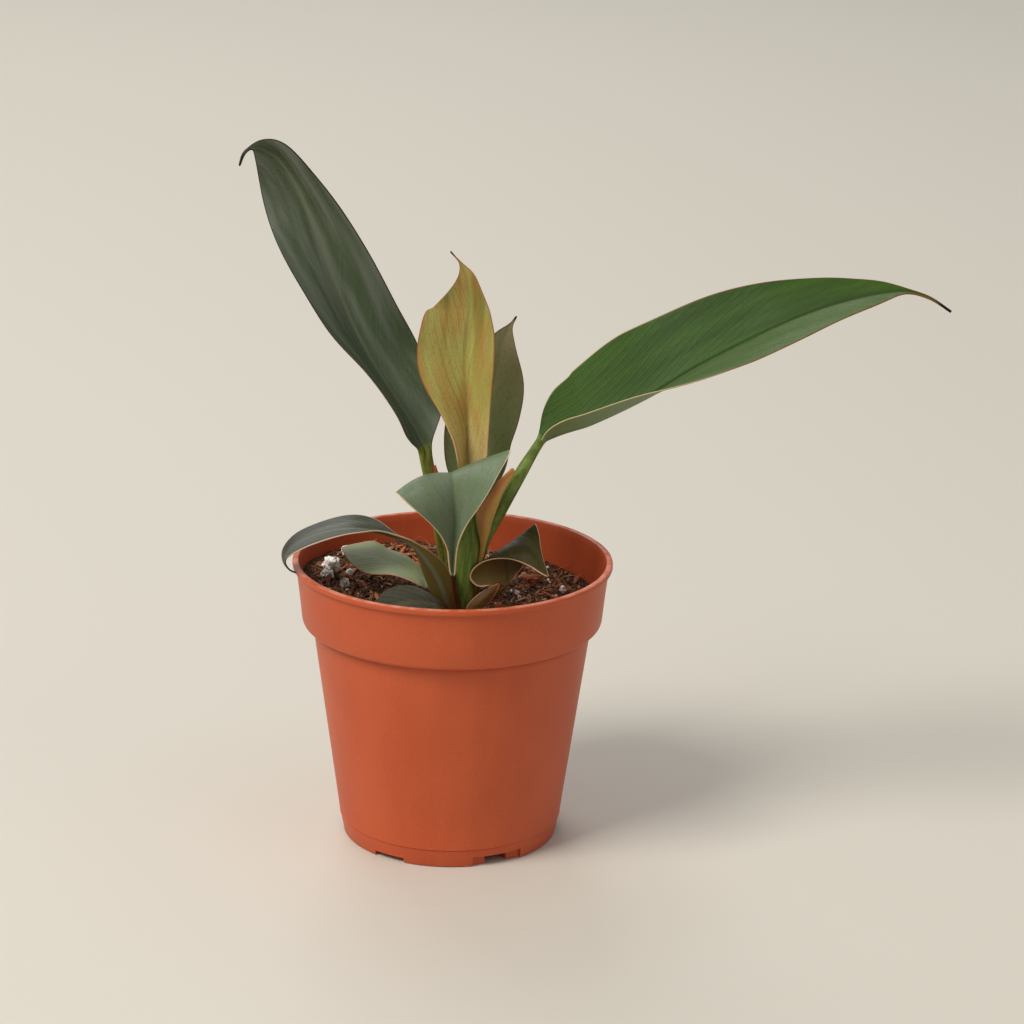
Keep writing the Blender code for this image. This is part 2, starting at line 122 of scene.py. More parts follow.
DRAIN_RADIUS, DRAIN_PLACE = 3.5, 28.1
CUTTER_REACH = BASE_RADIUS + 2


def select_points(thing, wanted):
    """In edit mode, select only the points for which `wanted` is true."""
    bpy.ops.mesh.select_all(action="DESELECT")
    bpy.ops.mesh.select_mode(type="VERT")
    bm = bmesh.from_edit_mesh(thing.data)
    for vert in bm.verts:
        vert.select = wanted(vert.co)
    bm.select_flush(True)
    bmesh.update_edit_mesh(thing.data)


def turned(name, profile, steps):
    """A closed body about the pot's axis, from a disc at the first (radius, height) of its
    profile, grown ring by ring to the last one, which is closed by another disc."""
    radius, height = profile[0]
    bpy.ops.mesh.primitive_circle_add(vertices=steps, radius=radius * MM, fill_type="TRIFAN",
                                      location=(0, 0, height * MM))
    thing = bpy.context.object
    thing.name = name
    bpy.ops.object.transform_apply(location=True)
    bpy.ops.object.mode_set(mode="EDIT")
    select_points(thing, lambda co: co.xy.length > 0.9 * radius * MM)
    bpy.ops.mesh.select_mode(type="EDGE")
    for wide, high in profile[1:]:
        bpy.ops.mesh.extrude_edges_move(
            TRANSFORM_OT_translate={"value": (0, 0, (high - height) * MM)})
        share = wide / radius
        bpy.ops.transform.resize(value=(share, share, 1), center_override=(0, 0, high * MM))
        radius, height = wide, high
    bpy.ops.mesh.edge_face_add()
    bpy.ops.mesh.poke()
    bpy.ops.mesh.select_all(action="SELECT")
    bpy.ops.mesh.normals_make_consistent(inside=False)
    bpy.ops.object.mode_set(mode="OBJECT")
    return thing


def body_radius(z):
    """Outer radius of the tapered body at a height."""
    return BASE_RADIUS + (BODY_TOP_RADIUS - BASE_RADIUS) * z / BODY_TOP


def shoulder(inset):
    """The rounded turn from the body out to the collar, bottom to top."""
    turn = [math.radians(90 * i / 10) for i in range(11)]
    return [(BODY_TOP_RADIUS + (COLLAR_FOOT_RADIUS - BODY_TOP_RADIUS) * math.sin(a) - inset,
             COLLAR_FOOT - (COLLAR_FOOT - BODY_TOP) * math.cos(a)) for a in turn]


foot = [(PAD_RADIUS, 0), (PAD_RADIUS, FLOOR_UNDER), (FOOT_INSIDE, FLOOR_UNDER),
        (FOOT_INSIDE, 0.3), (FOOT_INSIDE + 0.3, 0),
        (BASE_RADIUS - 0.7, 0), (BASE_RADIUS - 0.4, 0.1), (BASE_RADIUS - 0.25, 0.4)]
low_body = [(body_radius(SEAM_HEIGHT) - SEAM_STEP, SEAM_HEIGHT - 0.35),
            (body_radius(SEAM_HEIGHT) - 1.6 * SEAM_STEP, SEAM_HEIGHT - 0.12),
            (body_radius(SEAM_HEIGHT) + 0.08, SEAM_HEIGHT),
            (body_radius(SEAM_HEIGHT + 0.3), SEAM_HEIGHT + 0.3)]
side = [(body_radius(z), z) for z in (20, 35, 50, 65, 72, BODY_TOP - 1.2)]
side.append((body_radius(BODY_TOP - 0.4) - UNDERCUT, BODY_TOP - 0.4))
collar = [(COLLAR_FOOT_RADIUS + 0.12, COLLAR_FOOT + 0.3), (COLLAR_MIDDLE_RADIUS, COLLAR_MIDDLE),
          (COLLAR_TOP_RADIUS, COLLAR_TOP)]
lip = [(RIM_RADIUS - inward, POT_HEIGHT - down) for inward, down in (
    (1.15, 2.25), (0.5, 2.05), (0.15, 1.85), (0, 1.5), (0, 0.7), (0.1, 0.3), (0.4, 0.07),
    (0.8, 0), (1.6, 0), (1.95, 0.1), (2.15, 0.4))]
inside = [(radius - WALL, z) for radius, z in collar[:0:-1]]
inside_body = [(body_radius(z) - WALL, z) for z in (65, 50, 35, 20, FLOOR_TOP + 1)]
floor = [(body_radius(FLOOR_TOP) - WALL - 1, FLOOR_TOP), (PAD_RADIUS + 1, FLOOR_TOP)]
pot = turned("nursery_pot", foot + low_body + side + shoulder(0) + collar + lip + inside
             + shoulder(WALL)[::-1] + inside_body + floor, 192)


def foot_cutter(width, depth, height, turn):
    """A block that cuts into the foot from outside, standing across the table plane."""
    angle = math.radians(turn)
    out = (CUTTER_REACH - depth / 2) * MM
    bpy.ops.mesh.primitive_cube_add(size=1.0, rotation=(0, 0, angle), location=(
        math.sin(angle) * out, -math.cos(angle) * out, (height / 2 - 0.3) * MM))
    block = bpy.context.object
    block.scale = (width * MM, depth * MM, (height + 0.6) * MM)
    return block


def drain_cutter(turn):
    """A short rod through the floor, close inside the foot ring."""
    angle = math.radians(turn)
    out = DRAIN_PLACE * MM
    bpy.ops.mesh.primitive_cylinder_add(vertices=40, radius=DRAIN_RADIUS * MM, depth=6 * MM,
                                        location=(math.sin(angle) * out, -math.cos(angle) * out,
                                                  FLOOR_TOP * MM))
    return bpy.context.object


def cut_out(thing, cutters):
    """Take each cutter out of a body, and the cutter away."""
    for cutter in cutters:
        bpy.ops.object.select_all(action="DESELECT")
        bpy.context.view_layer.objects.active = thing
        boolean = thing.modifiers.new("cut", "BOOLEAN")
        boolean.operation = "DIFFERENCE"
        boolean.solver = "EXACT"
        boolean.object = cutter
        bpy.ops.object.modifier_apply(modifier="cut")
        bpy.data.objects.remove(cutter, do_unlink=True)


cutters = []
for third in (0, 120, 240):
    cutters.append(foot_cutter(DOORWAY_WIDTH, 4.2, DOORWAY_HEIGHT, DOORWAY_TURN + third))
    cutters.append(foot_cutter(CHANNEL_WIDTH, 8.4, DOORWAY_HEIGHT, DOORWAY_TURN + third))
    cutters.append(foot_cutter(VENT_WIDTH, 8.4, VENT_HEIGHT, VENT_TURN + third))
    cutters.append(drain_cutter(DOORWAY_TURN + third))
    cutters.append(drain_cutter(VENT_TURN + third))
cut_out(pot, cutters)


def smooth(thing, degrees=35):
    """Shade smooth, but for edges sharper than an angle."""
    bpy.ops.object.select_all(action="DESELECT")
    thing.select_set(True)
    bpy.context.view_layer.objects.active = thing
    bpy.ops.object.shade_smooth_by_angle(angle=math.radians(degrees))
    bpy.ops.object.select_all(action="DESELECT")


smooth(pot)


class Field:
    """A number or colour that changes over a surface: one output of a shader node."""

    def __init__(self, finish, socket):
        self.finish = finish
        self.socket = socket

    def maths(self, operation, *others):
        """The field and any others put through one Math node."""
        sockets = {i: value for i, value in enumerate((self, *others))}
        return self.finish.node("Math", {"operation": operation}, sockets)

    def __add__(self, other):
        return self.maths("ADD", other)

    __radd__ = __add__

    def __mul__(self, other):
        return self.maths("MULTIPLY", other)

    __rmul__ = __mul__

    def __sub__(self, other):
        return self.maths("SUBTRACT", other)

    def __rsub__(self, other):
        return self.finish.node("Math", {"operation": "SUBTRACT"}, {0: other, 1: self})

    def __abs__(self):
        return self.maths("ABSOLUTE")

    def rise(self, low, high):
        """0 below `low`, 1 above `high`, and smooth between; a fall where low is the higher."""
        if low > high:
            return 1 - self.rise(high, low)
        return self.finish.node("MapRange", {"interpolation_type": "SMOOTHSTEP"},
                                {"Value": self, "From Min": low, "From Max": high})

    def tint(self, low, high):
        """One colour where the field is 0, another where it is 1."""
        return self.finish.node("Mix", {"data_type": "RGBA"}, {0: self, 6: low, 7: high}, 2)


class Finish:
    """A material being mixed: its shader's constants, and one method that adds any node."""

    def __init__(self, name, constants):
        self.material = bpy.data.materials.new(name)
        self.material.use_nodes = True
        self.tree = self.material.node_tree
        self.shader = self.tree.nodes["Principled BSDF"]
        for socket, value in constants.items():
            self.shader.inputs[socket].default_value = value

    def node(self, kind, settings, sockets, out=0):
        """Add a node with its settings, and the values or fields of its sockets."""
        made = self.tree.nodes.new("ShaderNode" + kind)
        for key, value in settings.items():
            setattr(made, key, value)
        for key, value in sockets.items():
            if isinstance(value, Field):
                self.tree.links.new(value.socket, made.inputs[key])
            else:
                made.inputs[key].default_value = value
        return Field(self, made.outputs[out])

    def place(self):
        return self.node("TexCoord", {}, {}, "Object")

    def noise(self, scale, detail=3.0, roughness=0.55, stretch=(1, 1, 1)):
        """Cloudy noise from 0 to 1 with `scale` clouds to the metre."""
        place = self.node("Mapping", {}, {"Vector": self.place(), "Scale": stretch})
        return self.node("TexNoise", {}, {"Vector": place, "Scale": scale, "Detail": detail,
                                          "Roughness": roughness})

    def stored(self, name):
        """A number that the mesh keeps for each of its points."""
        return self.node("Attribute", {"attribute_name": name}, {}, "Fac")

    def grain(self, along, across, rake=0.0):
        """Noise laid out along a leaf's veins, which rake forward from its midrib: how many
        clouds to the millimetre along the midrib and across it."""
        rib = self.stored("rib")
        place = self.node("CombineXYZ", {}, {"X": (self.stored("reach") - abs(rib) * rake) * along,
                                             "Y": rib * across})
        return self.node("TexNoise", {}, {"Vector": place, "Scale": 1.0, "Detail": 3.0})

    def feed(self, socket, field):
        self.tree.links.new(field.socket, self.shader.inputs[socket])

    def relief(self, height, depth_mm):
        """A height field pressed into the surface."""
        self.feed("Normal", self.node("Bump", {}, {"Height": height, "Distance": depth_mm * MM,
                                                   "Strength": 1.0}))


plastic = Finish("satin_terracotta_plastic", {"Specular IOR Level": 0.34, "IOR": 1.49})
cloud = plastic.noise(26, 3)
flow = plastic.noise(90, 4, 0.6, (1, 1, 0.12))
grime = plastic.noise(300, 5, 0.7).rise(0.66, 0.80)
colour = (cloud * 0.6 + flow * 0.4).rise(0.35, 0.65)
colour = colour.tint(paint(188, 81, 42), paint(197, 89, 48))
colour = (plastic.noise(1700, 2).rise(0.40, 0.64) * 0.22).tint(colour, paint(168, 66, 32))
colour = (grime * 0.35).tint(colour, paint(214, 128, 96))
# Painted highlight along the top of the lip, partly real wear: the top half millimetre is lightened to a
# pale pink in noisy patches.
height = plastic.node("SeparateXYZ", {}, {"Vector": plastic.place()}, "Z")
lip_wear_and_highlight = height.rise((POT_HEIGHT - 0.5) * MM, POT_HEIGHT * MM)
lip_wear_and_highlight = lip_wear_and_highlight * plastic.noise(220, 3).rise(0.35, 0.6)
colour = (lip_wear_and_highlight * 0.35).tint(colour, paint(238, 178, 150))
plastic.feed("Base Color", colour)
plastic.feed("Roughness", 0.40 + flow * 0.10 + grime * 0.12)
plastic.relief(plastic.noise(1400, 2) * 0.3 + plastic.noise(160, 2) * 0.7, 0.05)
pot.data.materials.append(plastic.material)
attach(pot, "root")
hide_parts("pot")


# ---------------------------------------------------------------- potting mix
# Coarse dark coir and bark mix, banked up to the left, 13 mm below the rim in the middle.
# Its bed is turned like the pot and roughened; crumbs, chips and fibres lie loose on it.
SOIL_LEVEL, SOIL_RADIUS, BED_FOOT, STREWN_RADIUS = 84.0, 50.31, 5.6, 47.8
COLLAR_SLOPE = 0.113


def soil_height(x, y):
    """Height of the mix in millimetres: banked to the left, a little higher behind."""
    u, v = x / SOIL_RADIUS, y / SOIL_RADIUS
    swells = 0.5 * math.sin(0.31 * x + 0.7) * math.cos(0.27 * y)
    return SOIL_LEVEL - 4.2 * u + 1.8 * u * u + 1.4 * v + swells


top_rings = [(r, SOIL_LEVEL) for r in (50.3, 49.7, *np.arange(49.0, 0.9, -0.8))]
bed = turned("potting_mix_bed",
             [(body_radius(BED_FOOT) - 1.25, BED_FOOT)] + shoulder(1.2) + top_rings, 200)
for vert in bed.data.vertices:
    x, y, z = vert.co / MM
    if z > SOIL_LEVEL - 0.01:
        high = soil_height(x, y)
        rough = noise.fractal(Vector((x, y, 3.0)) * 0.45, 0.9, 2.1, 4) * 1.1
        high += rough * min(1.0, (SOIL_RADIUS - math.hypot(x, y)) / 1.5 + 0.3)
        share = 1 + COLLAR_SLOPE * (high - SOIL_LEVEL) / SOIL_RADIUS
        vert.co = Vector((x * share, y * share, high)) * MM
smooth(bed, 80)


def coir(name, low, high, rare):
    """Dark damp coir: two browns by grain, and a rarer third one."""
    finish = Finish(name, {"Specular IOR Level": 0.35})
    tone = finish.stored("tone")
    fine = finish.noise(1500, 3)
    body = (tone * 0.7 + fine * 0.3).rise(0.25, 0.85).tint(low, high)
    body = tone.rise(0.90, 0.97).tint(body, rare)
    finish.feed("Base Color", body)
    finish.feed("Roughness", 0.65 + fine * 0.25)
    finish.relief(finish.noise(2600, 4, 0.7), 0.25)
    return finish.material


ground = Finish("damp_coir_bed", {"Specular IOR Level": 0.3})
speck = ground.noise(700, 5, 0.75)
ground.feed("Base Color", speck.rise(0.36, 0.66).tint(paint(40, 25, 17), paint(120, 78, 50)))
ground.feed("Roughness", 0.75 + speck * 0.2)
ground.relief(speck, 1.2)
bed.data.materials.append(ground.material)
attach(bed, "root")
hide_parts("potting_mix")


def lumps(seed, count, level, rough, squash):
    """Irregular grains about a millimetre in radius, as pattern meshes for copies."""
    rng = random.Random(seed)
    meshes = []
    for _ in range(count):
        if level:
            bpy.ops.mesh.primitive_ico_sphere_add(subdivisions=level, radius=1.0)
        else:
            bpy.ops.mesh.primitive_uv_sphere_add(segments=7, ring_count=5, radius=1.0)
        grain = bpy.context.object
        shift = Vector([rng.uniform(0, 50) for _ in range(3)])
        for vert in grain.data.vertices:
            vert.co *= 1 + rough * noise.noise(vert.co * 1.6 + shift) \
                + 0.5 * rough * noise.noise(vert.co * 3.9 + shift)
            vert.co.x *= squash[0]
            vert.co.y *= squash[1]
            vert.co.z *= squash[2]
        meshes.append(grain.data.copy())
        bpy.data.objects.remove(grain, do_unlink=True)
    return meshes


def slivers(seed, count, sides, length, radius, bend, steps):
    """Thin bent fibres along X, as pattern meshes for copies."""
    rng = random.Random(seed)
    meshes = []
    for _ in range(count):
        bpy.ops.mesh.primitive_cylinder_add(vertices=sides, radius=radius, depth=length,
                                            rotation=(0, math.pi / 2, 0))
        bpy.ops.object.transform_apply(rotation=True)
        fibre = bpy.context.object
        bpy.ops.object.mode_set(mode="EDIT")
        bm = bmesh.from_edit_mesh(fibre.data)
        long_edges = [e for e in bm.edges if abs(e.verts[0].co.x - e.verts[1].co.x) > length / 2]
        bmesh.ops.subdivide_edges(bm, edges=long_edges, cuts=steps - 1)
        bmesh.update_edit_mesh(fibre.data)
        bpy.ops.object.mode_set(mode="OBJECT")
        shift = Vector([rng.uniform(0, 50) for _ in range(3)])
        for vert in fibre.data.vertices:
            t = vert.co.x / length
            taper = 1 - 1.2 * abs(t)
            vert.co.y *= taper
            vert.co.z *= taper
            lean = noise.noise_vector(Vector((t * 2.2, 0, 0)) + shift)
            vert.co.y += bend * (lean.y + 0.8 * math.cos(3 * t))
            vert.co.z += 0.4 * bend * lean.z
        meshes.append(fibre.data.copy())
        bpy.data.objects.remove(fibre, do_unlink=True)
    return meshes


def strew(name, meshes, finish, places):
    """One piece of many copies; each place is (x, y, lift, turns, sizes, tone)."""
    bm = bmesh.new()
    tone_layer = bm.verts.layers.float.new("tone")
    for i, (x, y, lift, turns, sizes, tone) in enumerate(places):
        before = len(bm.verts)
        bm.from_mesh(meshes[i % len(meshes)])
        bm.verts.ensure_lookup_table()
        spot = Matrix.Translation((x, y, soil_height(x, y) + lift))
        for axis, angle in zip("XYZ", turns):
            spot = spot @ Matrix.Rotation(angle, 4, axis)
        spot = Matrix.Scale(MM, 4) @ spot @ Matrix.Diagonal((*sizes, 1))
        for vert in bm.verts[before:]:
            vert.co = spot @ vert.co
            vert[tone_layer] = tone
    mesh = bpy.data.meshes.new(name)
    bm.to_mesh(mesh)
    bm.free()
    thing = bpy.data.objects.new(name, mesh)
    bpy.context.collection.objects.link(thing)
    mesh.materials.append(finish)
    smooth(thing, 50)
    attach(thing, "root")
    return thing


def strewn(seed, count, sizes, lift, tilt):
    """Places for loose grains all over the mix, each with a turn, a size and a tone."""
    rng = random.Random(seed)
    places = []
    for _ in range(count):
        radius = STREWN_RADIUS * math.sqrt(rng.random())
        angle = rng.uniform(0, math.tau)
        size = rng.uniform(*sizes) * (1.5 if rng.random() < 0.07 else 1.0)
        stretch = [size * rng.uniform(0.7, 1.3) for _ in range(3)]
        turns = (rng.uniform(-tilt, tilt), rng.uniform(-tilt, tilt), rng.uniform(0, math.tau))
        places.append((radius * math.cos(angle), radius * math.sin(angle),
                       rng.uniform(*lift) * size, turns, stretch, rng.random()))
    return places


dark_crumb = coir("coir_crumbs", paint(66, 44, 30), paint(172, 118, 80), paint(214, 164, 114))
strew("mix_crumbs", lumps(4, 6, 0, 0.9, (1, 0.85, 0.7)), dark_crumb,
      strewn(11, 2300, (0.3, 0.95), (-0.3, 0.7), 1.5))
husk = coir("coir_husk_chips", paint(96, 54, 32), paint(190, 112, 66), paint(216, 156, 104))
strew("mix_husk_chips", lumps(9, 5, 0, 0.5, (1.6, 0.5, 0.22)), husk,
      strewn(23, 640, (0.6, 1.7), (0.2, 0.8), 0.9))
fibre_brown = coir("coir_fibres", paint(118, 72, 44), paint(212, 146, 92), paint(228, 184, 136))
strew("mix_fibres", slivers(5, 8, 5, 8.0, 0.13, 1.7, 7), fibre_brown,
      strewn(37, 1000, (0.35, 1.05), (0.6, 1.6), 0.5))

# ---------------------------------------------------------------- perlite and bark
# White porous grains of blown glass, mostly heaped by the wall at the left, and two chips
# of orange-brown bark. Each lies loose on the mix.
grit = Finish("porous_perlite", {"Specular IOR Level": 0.3, "Subsurface Weight": 0.12,
                                 "Subsurface Scale": 0.001})
pores = grit.node("TexVoronoi", {"feature": "F1"}, {"Vector": grit.place(), "Scale": 900.0})
soiled = grit.noise(420, 4, 0.7)
clean = soiled.rise(0.70, 0.52).tint(paint(158, 124, 92), paint(250, 246, 238))
grit.feed("Base Color", pores.rise(0.30, 0.12).tint(clean, paint(112, 84, 62)))
grit.feed("Roughness", 0.8 + soiled * 0.15)
grit.relief(pores * 0.8 + soiled * 0.4, 0.5)
PERLITE = ("perlite_a", "perlite_b", "perlite_c", "perlite_d", "perlite_e", "perlite_f")


def grains_of(nodes, tone):
    """The places of loose grains that fill the boxes of the solids they stand for."""
    places = []
    for i, node in enumerate(nodes):
        low, high = (np.array(corner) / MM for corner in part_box(node))
        x, y, z = (low + high) / 2
        places.append((x, y, z - soil_height(x, y), (0.4 * i, 0.3 * i, 0.9 * i),
                       (high - low) / 2, tone))
    return places


LOOSE = [(-40.1, 8.2, 1.3), (-35.9, -4.7, 2.0), (-37.0, -5.4, 1.4), (-28.6, -5.8, 0.6),
         (-41.2, -10.2, 0.7), (22.7, 0.5, 0.7), (16.6, -12.8, 0.6), (32.5, 31.7, 0.7)]
small_grains = strewn(61, 70, (0.2, 0.55), (0.9, 1.6), 1.5)
small_grains += [(x, y, 0.5 * size, (size, x, y), (size, 0.8 * size, 0.7 * size), 0.5)
                 for x, y, size in LOOSE]
perlite = strew("perlite_grains", lumps(31, 6, 4, 0.42, (1, 1, 1)), grit.material,
                grains_of(PERLITE, 0.5) + small_grains)
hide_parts(*PERLITE)

bark_brown = coir("orange_brown_bark", paint(120, 62, 36), paint(176, 96, 58), paint(186, 110, 70))
BARK = ("bark_chip_a", "bark_chip_b")
bark = strew("bark_chips", lumps(42, 3, 4, 0.45, (1, 1, 0.8)), bark_brown,
             grains_of(BARK, 0.6) + [(-20.0, -24.0, 0.8, (0.3, 0.2, 0.9), (2.0, 1.2, 0.6), 0.5),
                                     (-30.5, -1.0, 0.8, (0.3, 0.1, 2.1), (2.2, 1.2, 0.6), 0.8)])
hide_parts(*BARK)

# ---------------------------------------------------------------- crown
# The short buried stem that every stalk rises from: an oval brownish-green stub, ringed by
# the scars of old leaves, with only its top above the mix.
CROWN_X, CROWN_Y, CROWN_MIDDLE = 3, -12.5, 76.4
CROWN_HALF_WIDTH, CROWN_HALF_DEPTH, CROWN_HALF_HEIGHT = 6.6, 9.6, 8.1
bpy.ops.mesh.primitive_uv_sphere_add(segments=48, ring_count=32, radius=1.0)
crown = bpy.context.object
crown.name = "crown_stub"
for vert in crown.data.vertices:
    x, y, z = vert.co
    scar = 1 + 0.03 * math.sin(22 * z) + 0.04 * noise.noise(vert.co * 3)
    vert.co = Vector((CROWN_X + CROWN_HALF_WIDTH * x * scar,
                      CROWN_Y + CROWN_HALF_DEPTH * y * scar,
                      CROWN_MIDDLE + CROWN_HALF_HEIGHT * z)) * MM
smooth(crown, 60)
stub = Finish("brown_green_stub", {"Specular IOR Level": 0.4})
stub_tone = stub.noise(500, 4).rise(0.35, 0.7)
stub.feed("Base Color", stub_tone.tint(paint(58, 44, 24), paint(104, 96, 48)))
stub.feed("Roughness", 0.55 + stub.noise(300) * 0.2)
stub.relief(stub.noise(900, 4), 0.3)
crown.data.materials.append(stub.material)
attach(crown, "root")
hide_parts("crown")


# ---------------------------------------------------------------- tall left leaf
# The tallest leaf, dark grey-green and satin, stands up to the left on a stout stalk and
# ends in a black hook. Every leaf is one thin sheet, thick and round along its stalk.
BLADE_HALF_THICKNESS = 0.24


def glide(t, start, end, leave, arrive):
    """From `start` to `end` as t goes from 0 to 1, with a set slope at each end."""
    return (start * (2 * t**3 - 3 * t**2 + 1) + end * (3 * t**2 - 2 * t**3)
            + leave * (t**3 - 2 * t**2 + t) + arrive * (t**3 - t**2))


def run_through(rows, count):
    """A smooth run through rows of numbers whose first three are a place."""
    rows = np.array(rows, float)
    steps = np.linalg.norm(np.diff(rows[:, :3], axis=0), axis=1)
    at = np.concatenate([[0], np.cumsum(steps)])
    slope = np.empty_like(rows)
    slope[1:-1] = (rows[2:] - rows[:-2]) / (at[2:] - at[:-2])[:, None]
    slope[0] = (rows[1] - rows[0]) / at[1]
    slope[-1] = (rows[-1] - rows[-2]) / (at[-1] - at[-2])
    where = np.linspace(0, at[-1], count)
    i = np.clip(np.searchsorted(at, where, "right") - 1, 0, len(at) - 2)
    span = (at[i + 1] - at[i])[:, None]
    t = ((where - at[i]) / span[:, 0])[:, None]
    return glide(t, rows[i], rows[i + 1], slope[i] * span, slope[i + 1] * span)


def unit(vectors):
    """The same directions, each 1 long."""
    return vectors / np.linalg.norm(vectors, axis=-1, keepdims=True)


def rails_from_stations(facing, stations, count):
    """Midrib, left margin, right margin and thickness, from stations along the midrib: x, y,
    height above the mix, half width, half thickness, and the turn and fold of the blade in
    degrees. `facing` is where the upper side looks at the foot of the stalk."""
    run = run_through(stations, count)
    midrib = run[:, :3] + (0, 0, SOIL_LEVEL)
    along = unit(np.gradient(midrib, axis=0))
    upper = np.array(facing, float)
    left, right = [], []
    for spot, ahead, (wide, _, turn, fold) in zip(midrib, along, run[:, 3:]):
        upper = upper - ahead * upper.dot(ahead)
        upper /= np.linalg.norm(upper)
        across = np.cross(ahead, upper)
        for margin, way in ((left, -1), (right, 1)):
            rise = math.radians(fold - way * turn)
            margin.append(spot + wide * (way * across * math.cos(rise) + upper * math.sin(rise)))
    return midrib, np.array(left), np.array(right), run[:, 4]


def rails_from_points(rows, count):
    """The same four from rows of midrib, left, right and thickness, for a curled blade."""
    run = run_through([(*rib, *left, *right, thick) for rib, left, right, thick in rows], count)
    level = np.array((0, 0, SOIL_LEVEL))
    return run[:, :3] + level, run[:, 3:6] + level, run[:, 6:9] + level, run[:, 9]


def ease(values, low, high):
    """0 below `low`, 1 above `high`, and smooth between."""
    t = np.clip((values - low) / (high - low), 0, 1)
    return t * t * (3 - 2 * t)


def grow(name, rails, rib=1.1, wave=(0.0, 1.0, 0.0), fold_round=0.10, across=33, leafy=(1.7, 4.5),
         puff=(0.0, 0.0)):
    """A leaf or a sheath: a grid between the rails, given its two sides, then smoothed. It
    keeps, for its finish, each point's distances in millimetres from midrib and margin."""
    midrib, left, right, thick = rails
    count = len(midrib)
    bpy.ops.mesh.primitive_grid_add(x_subdivisions=across - 1, y_subdivisions=count - 1, size=1.0)
    leaf = bpy.context.object
    leaf.name = name
    solidify = leaf.modifiers.new("two sides", "SOLIDIFY")
    solidify.thickness = 0.001
    solidify.offset = -1.0
    bpy.ops.object.modifier_apply(modifier="two sides")

    s = np.linspace(-1, 1, across)[None, :, None]
    bent = (np.sqrt(s**2 + fold_round**2) - fold_round) / (math.hypot(1, fold_round) - fold_round)
    middle = midrib[:, None, :]
    half = (right - left)[:, None, :] / 2
    sheet = middle + half * s + ((right + left)[:, None, :] / 2 - middle) * bent
    reach = np.concatenate([[0], np.cumsum(np.linalg.norm(np.diff(midrib, axis=0), axis=1))])
    wide = (np.linalg.norm(right - midrib, axis=1) + np.linalg.norm(left - midrib, axis=1)) / 2
    blade = ease(wide / thick, *leafy)
    blade = np.maximum.accumulate(blade)
    foot = reach[np.argmax(blade > 0.5)]
    along = np.clip((reach - foot) / (reach[-1] - foot), -1, 1)

    out = unit(np.cross(np.gradient(sheet, axis=1), np.gradient(sheet, axis=0)))
    s, b, w = s[..., 0], blade[:, None], wide[:, None]
    ripple, waves, phase = wave
    sheet = sheet + out * (ripple * b * np.abs(s)**2 * np.sin(
        math.tau * waves * np.clip(along, 0, 1)[:, None] + phase + 1.3 * np.sign(s)))[..., None]
    swell = np.where(s < 0, puff[0], puff[1]) * np.sin(math.pi * np.abs(s))
    swell = swell * ease(along, 0.2, 0.6)[:, None]
    sheet = sheet + out * swell[..., None]
    out = unit(np.cross(np.gradient(sheet, axis=1), np.gradient(sheet, axis=0)))
    round_stalk = thick[:, None] * np.sqrt(np.clip(1 - s**2, 0.01, 1))
    off_rib = np.abs(s) * w
    rib_size = (rib * (1 - 0.8 * np.clip(along, 0, 1)))[:, None]
    ridge = np.exp(-(off_rib / (0.5 + rib_size))**2) * rib_size
    flat = BLADE_HALF_THICKNESS + 0 * s
    over = (1 - b) * round_stalk * (1 - 0.35 * np.exp(-(s / 0.4)**2)) + b * (flat - 0.22 * ridge)
    under = (1 - b) * round_stalk + b * (flat + 0.55 * ridge)

    shape = np.empty((len(leaf.data.vertices), 3))
    leaf.data.vertices.foreach_get("co", shape.ravel())
    half_count = across * count
    column = np.rint((shape[:half_count, 0] + 0.5) * (across - 1)).astype(int)
    row = np.rint((shape[:half_count, 1] + 0.5) * (count - 1)).astype(int)
    shape[:half_count] = (sheet + out * over[..., None])[row, column]
    shape[half_count:] = (sheet - out * under[..., None])[row, column]
    leaf.data.vertices.foreach_set("co", (shape * MM).ravel())
    kept = {"rib": s * w, "margin": (1 - np.abs(s)) * w, "reach": (reach - foot)[:, None] + 0 * s,
            "along": along[:, None] + 0 * s, "blade": b + 0 * s}
    for key, values in kept.items():
        layer = leaf.data.attributes.new(key, "FLOAT", "POINT")
        layer.data.foreach_set("value", np.tile(values[row, column], 2).astype(np.float32))
    layer = leaf.data.attributes.new("under", "FLOAT", "POINT")
    layer.data.foreach_set("value", np.repeat([0.0, 1.0], half_count).astype(np.float32))

    bpy.ops.object.mode_set(mode="EDIT")
    bpy.ops.mesh.select_all(action="SELECT")
    bpy.ops.mesh.normals_make_consistent(inside=False)
    bpy.ops.object.mode_set(mode="OBJECT")
    rounding = leaf.modifiers.new("rounding", "SUBSURF")
    rounding.levels = rounding.render_levels = 1
    bpy.ops.object.modifier_apply(modifier="rounding")
    smooth(leaf, 70)
    return leaf


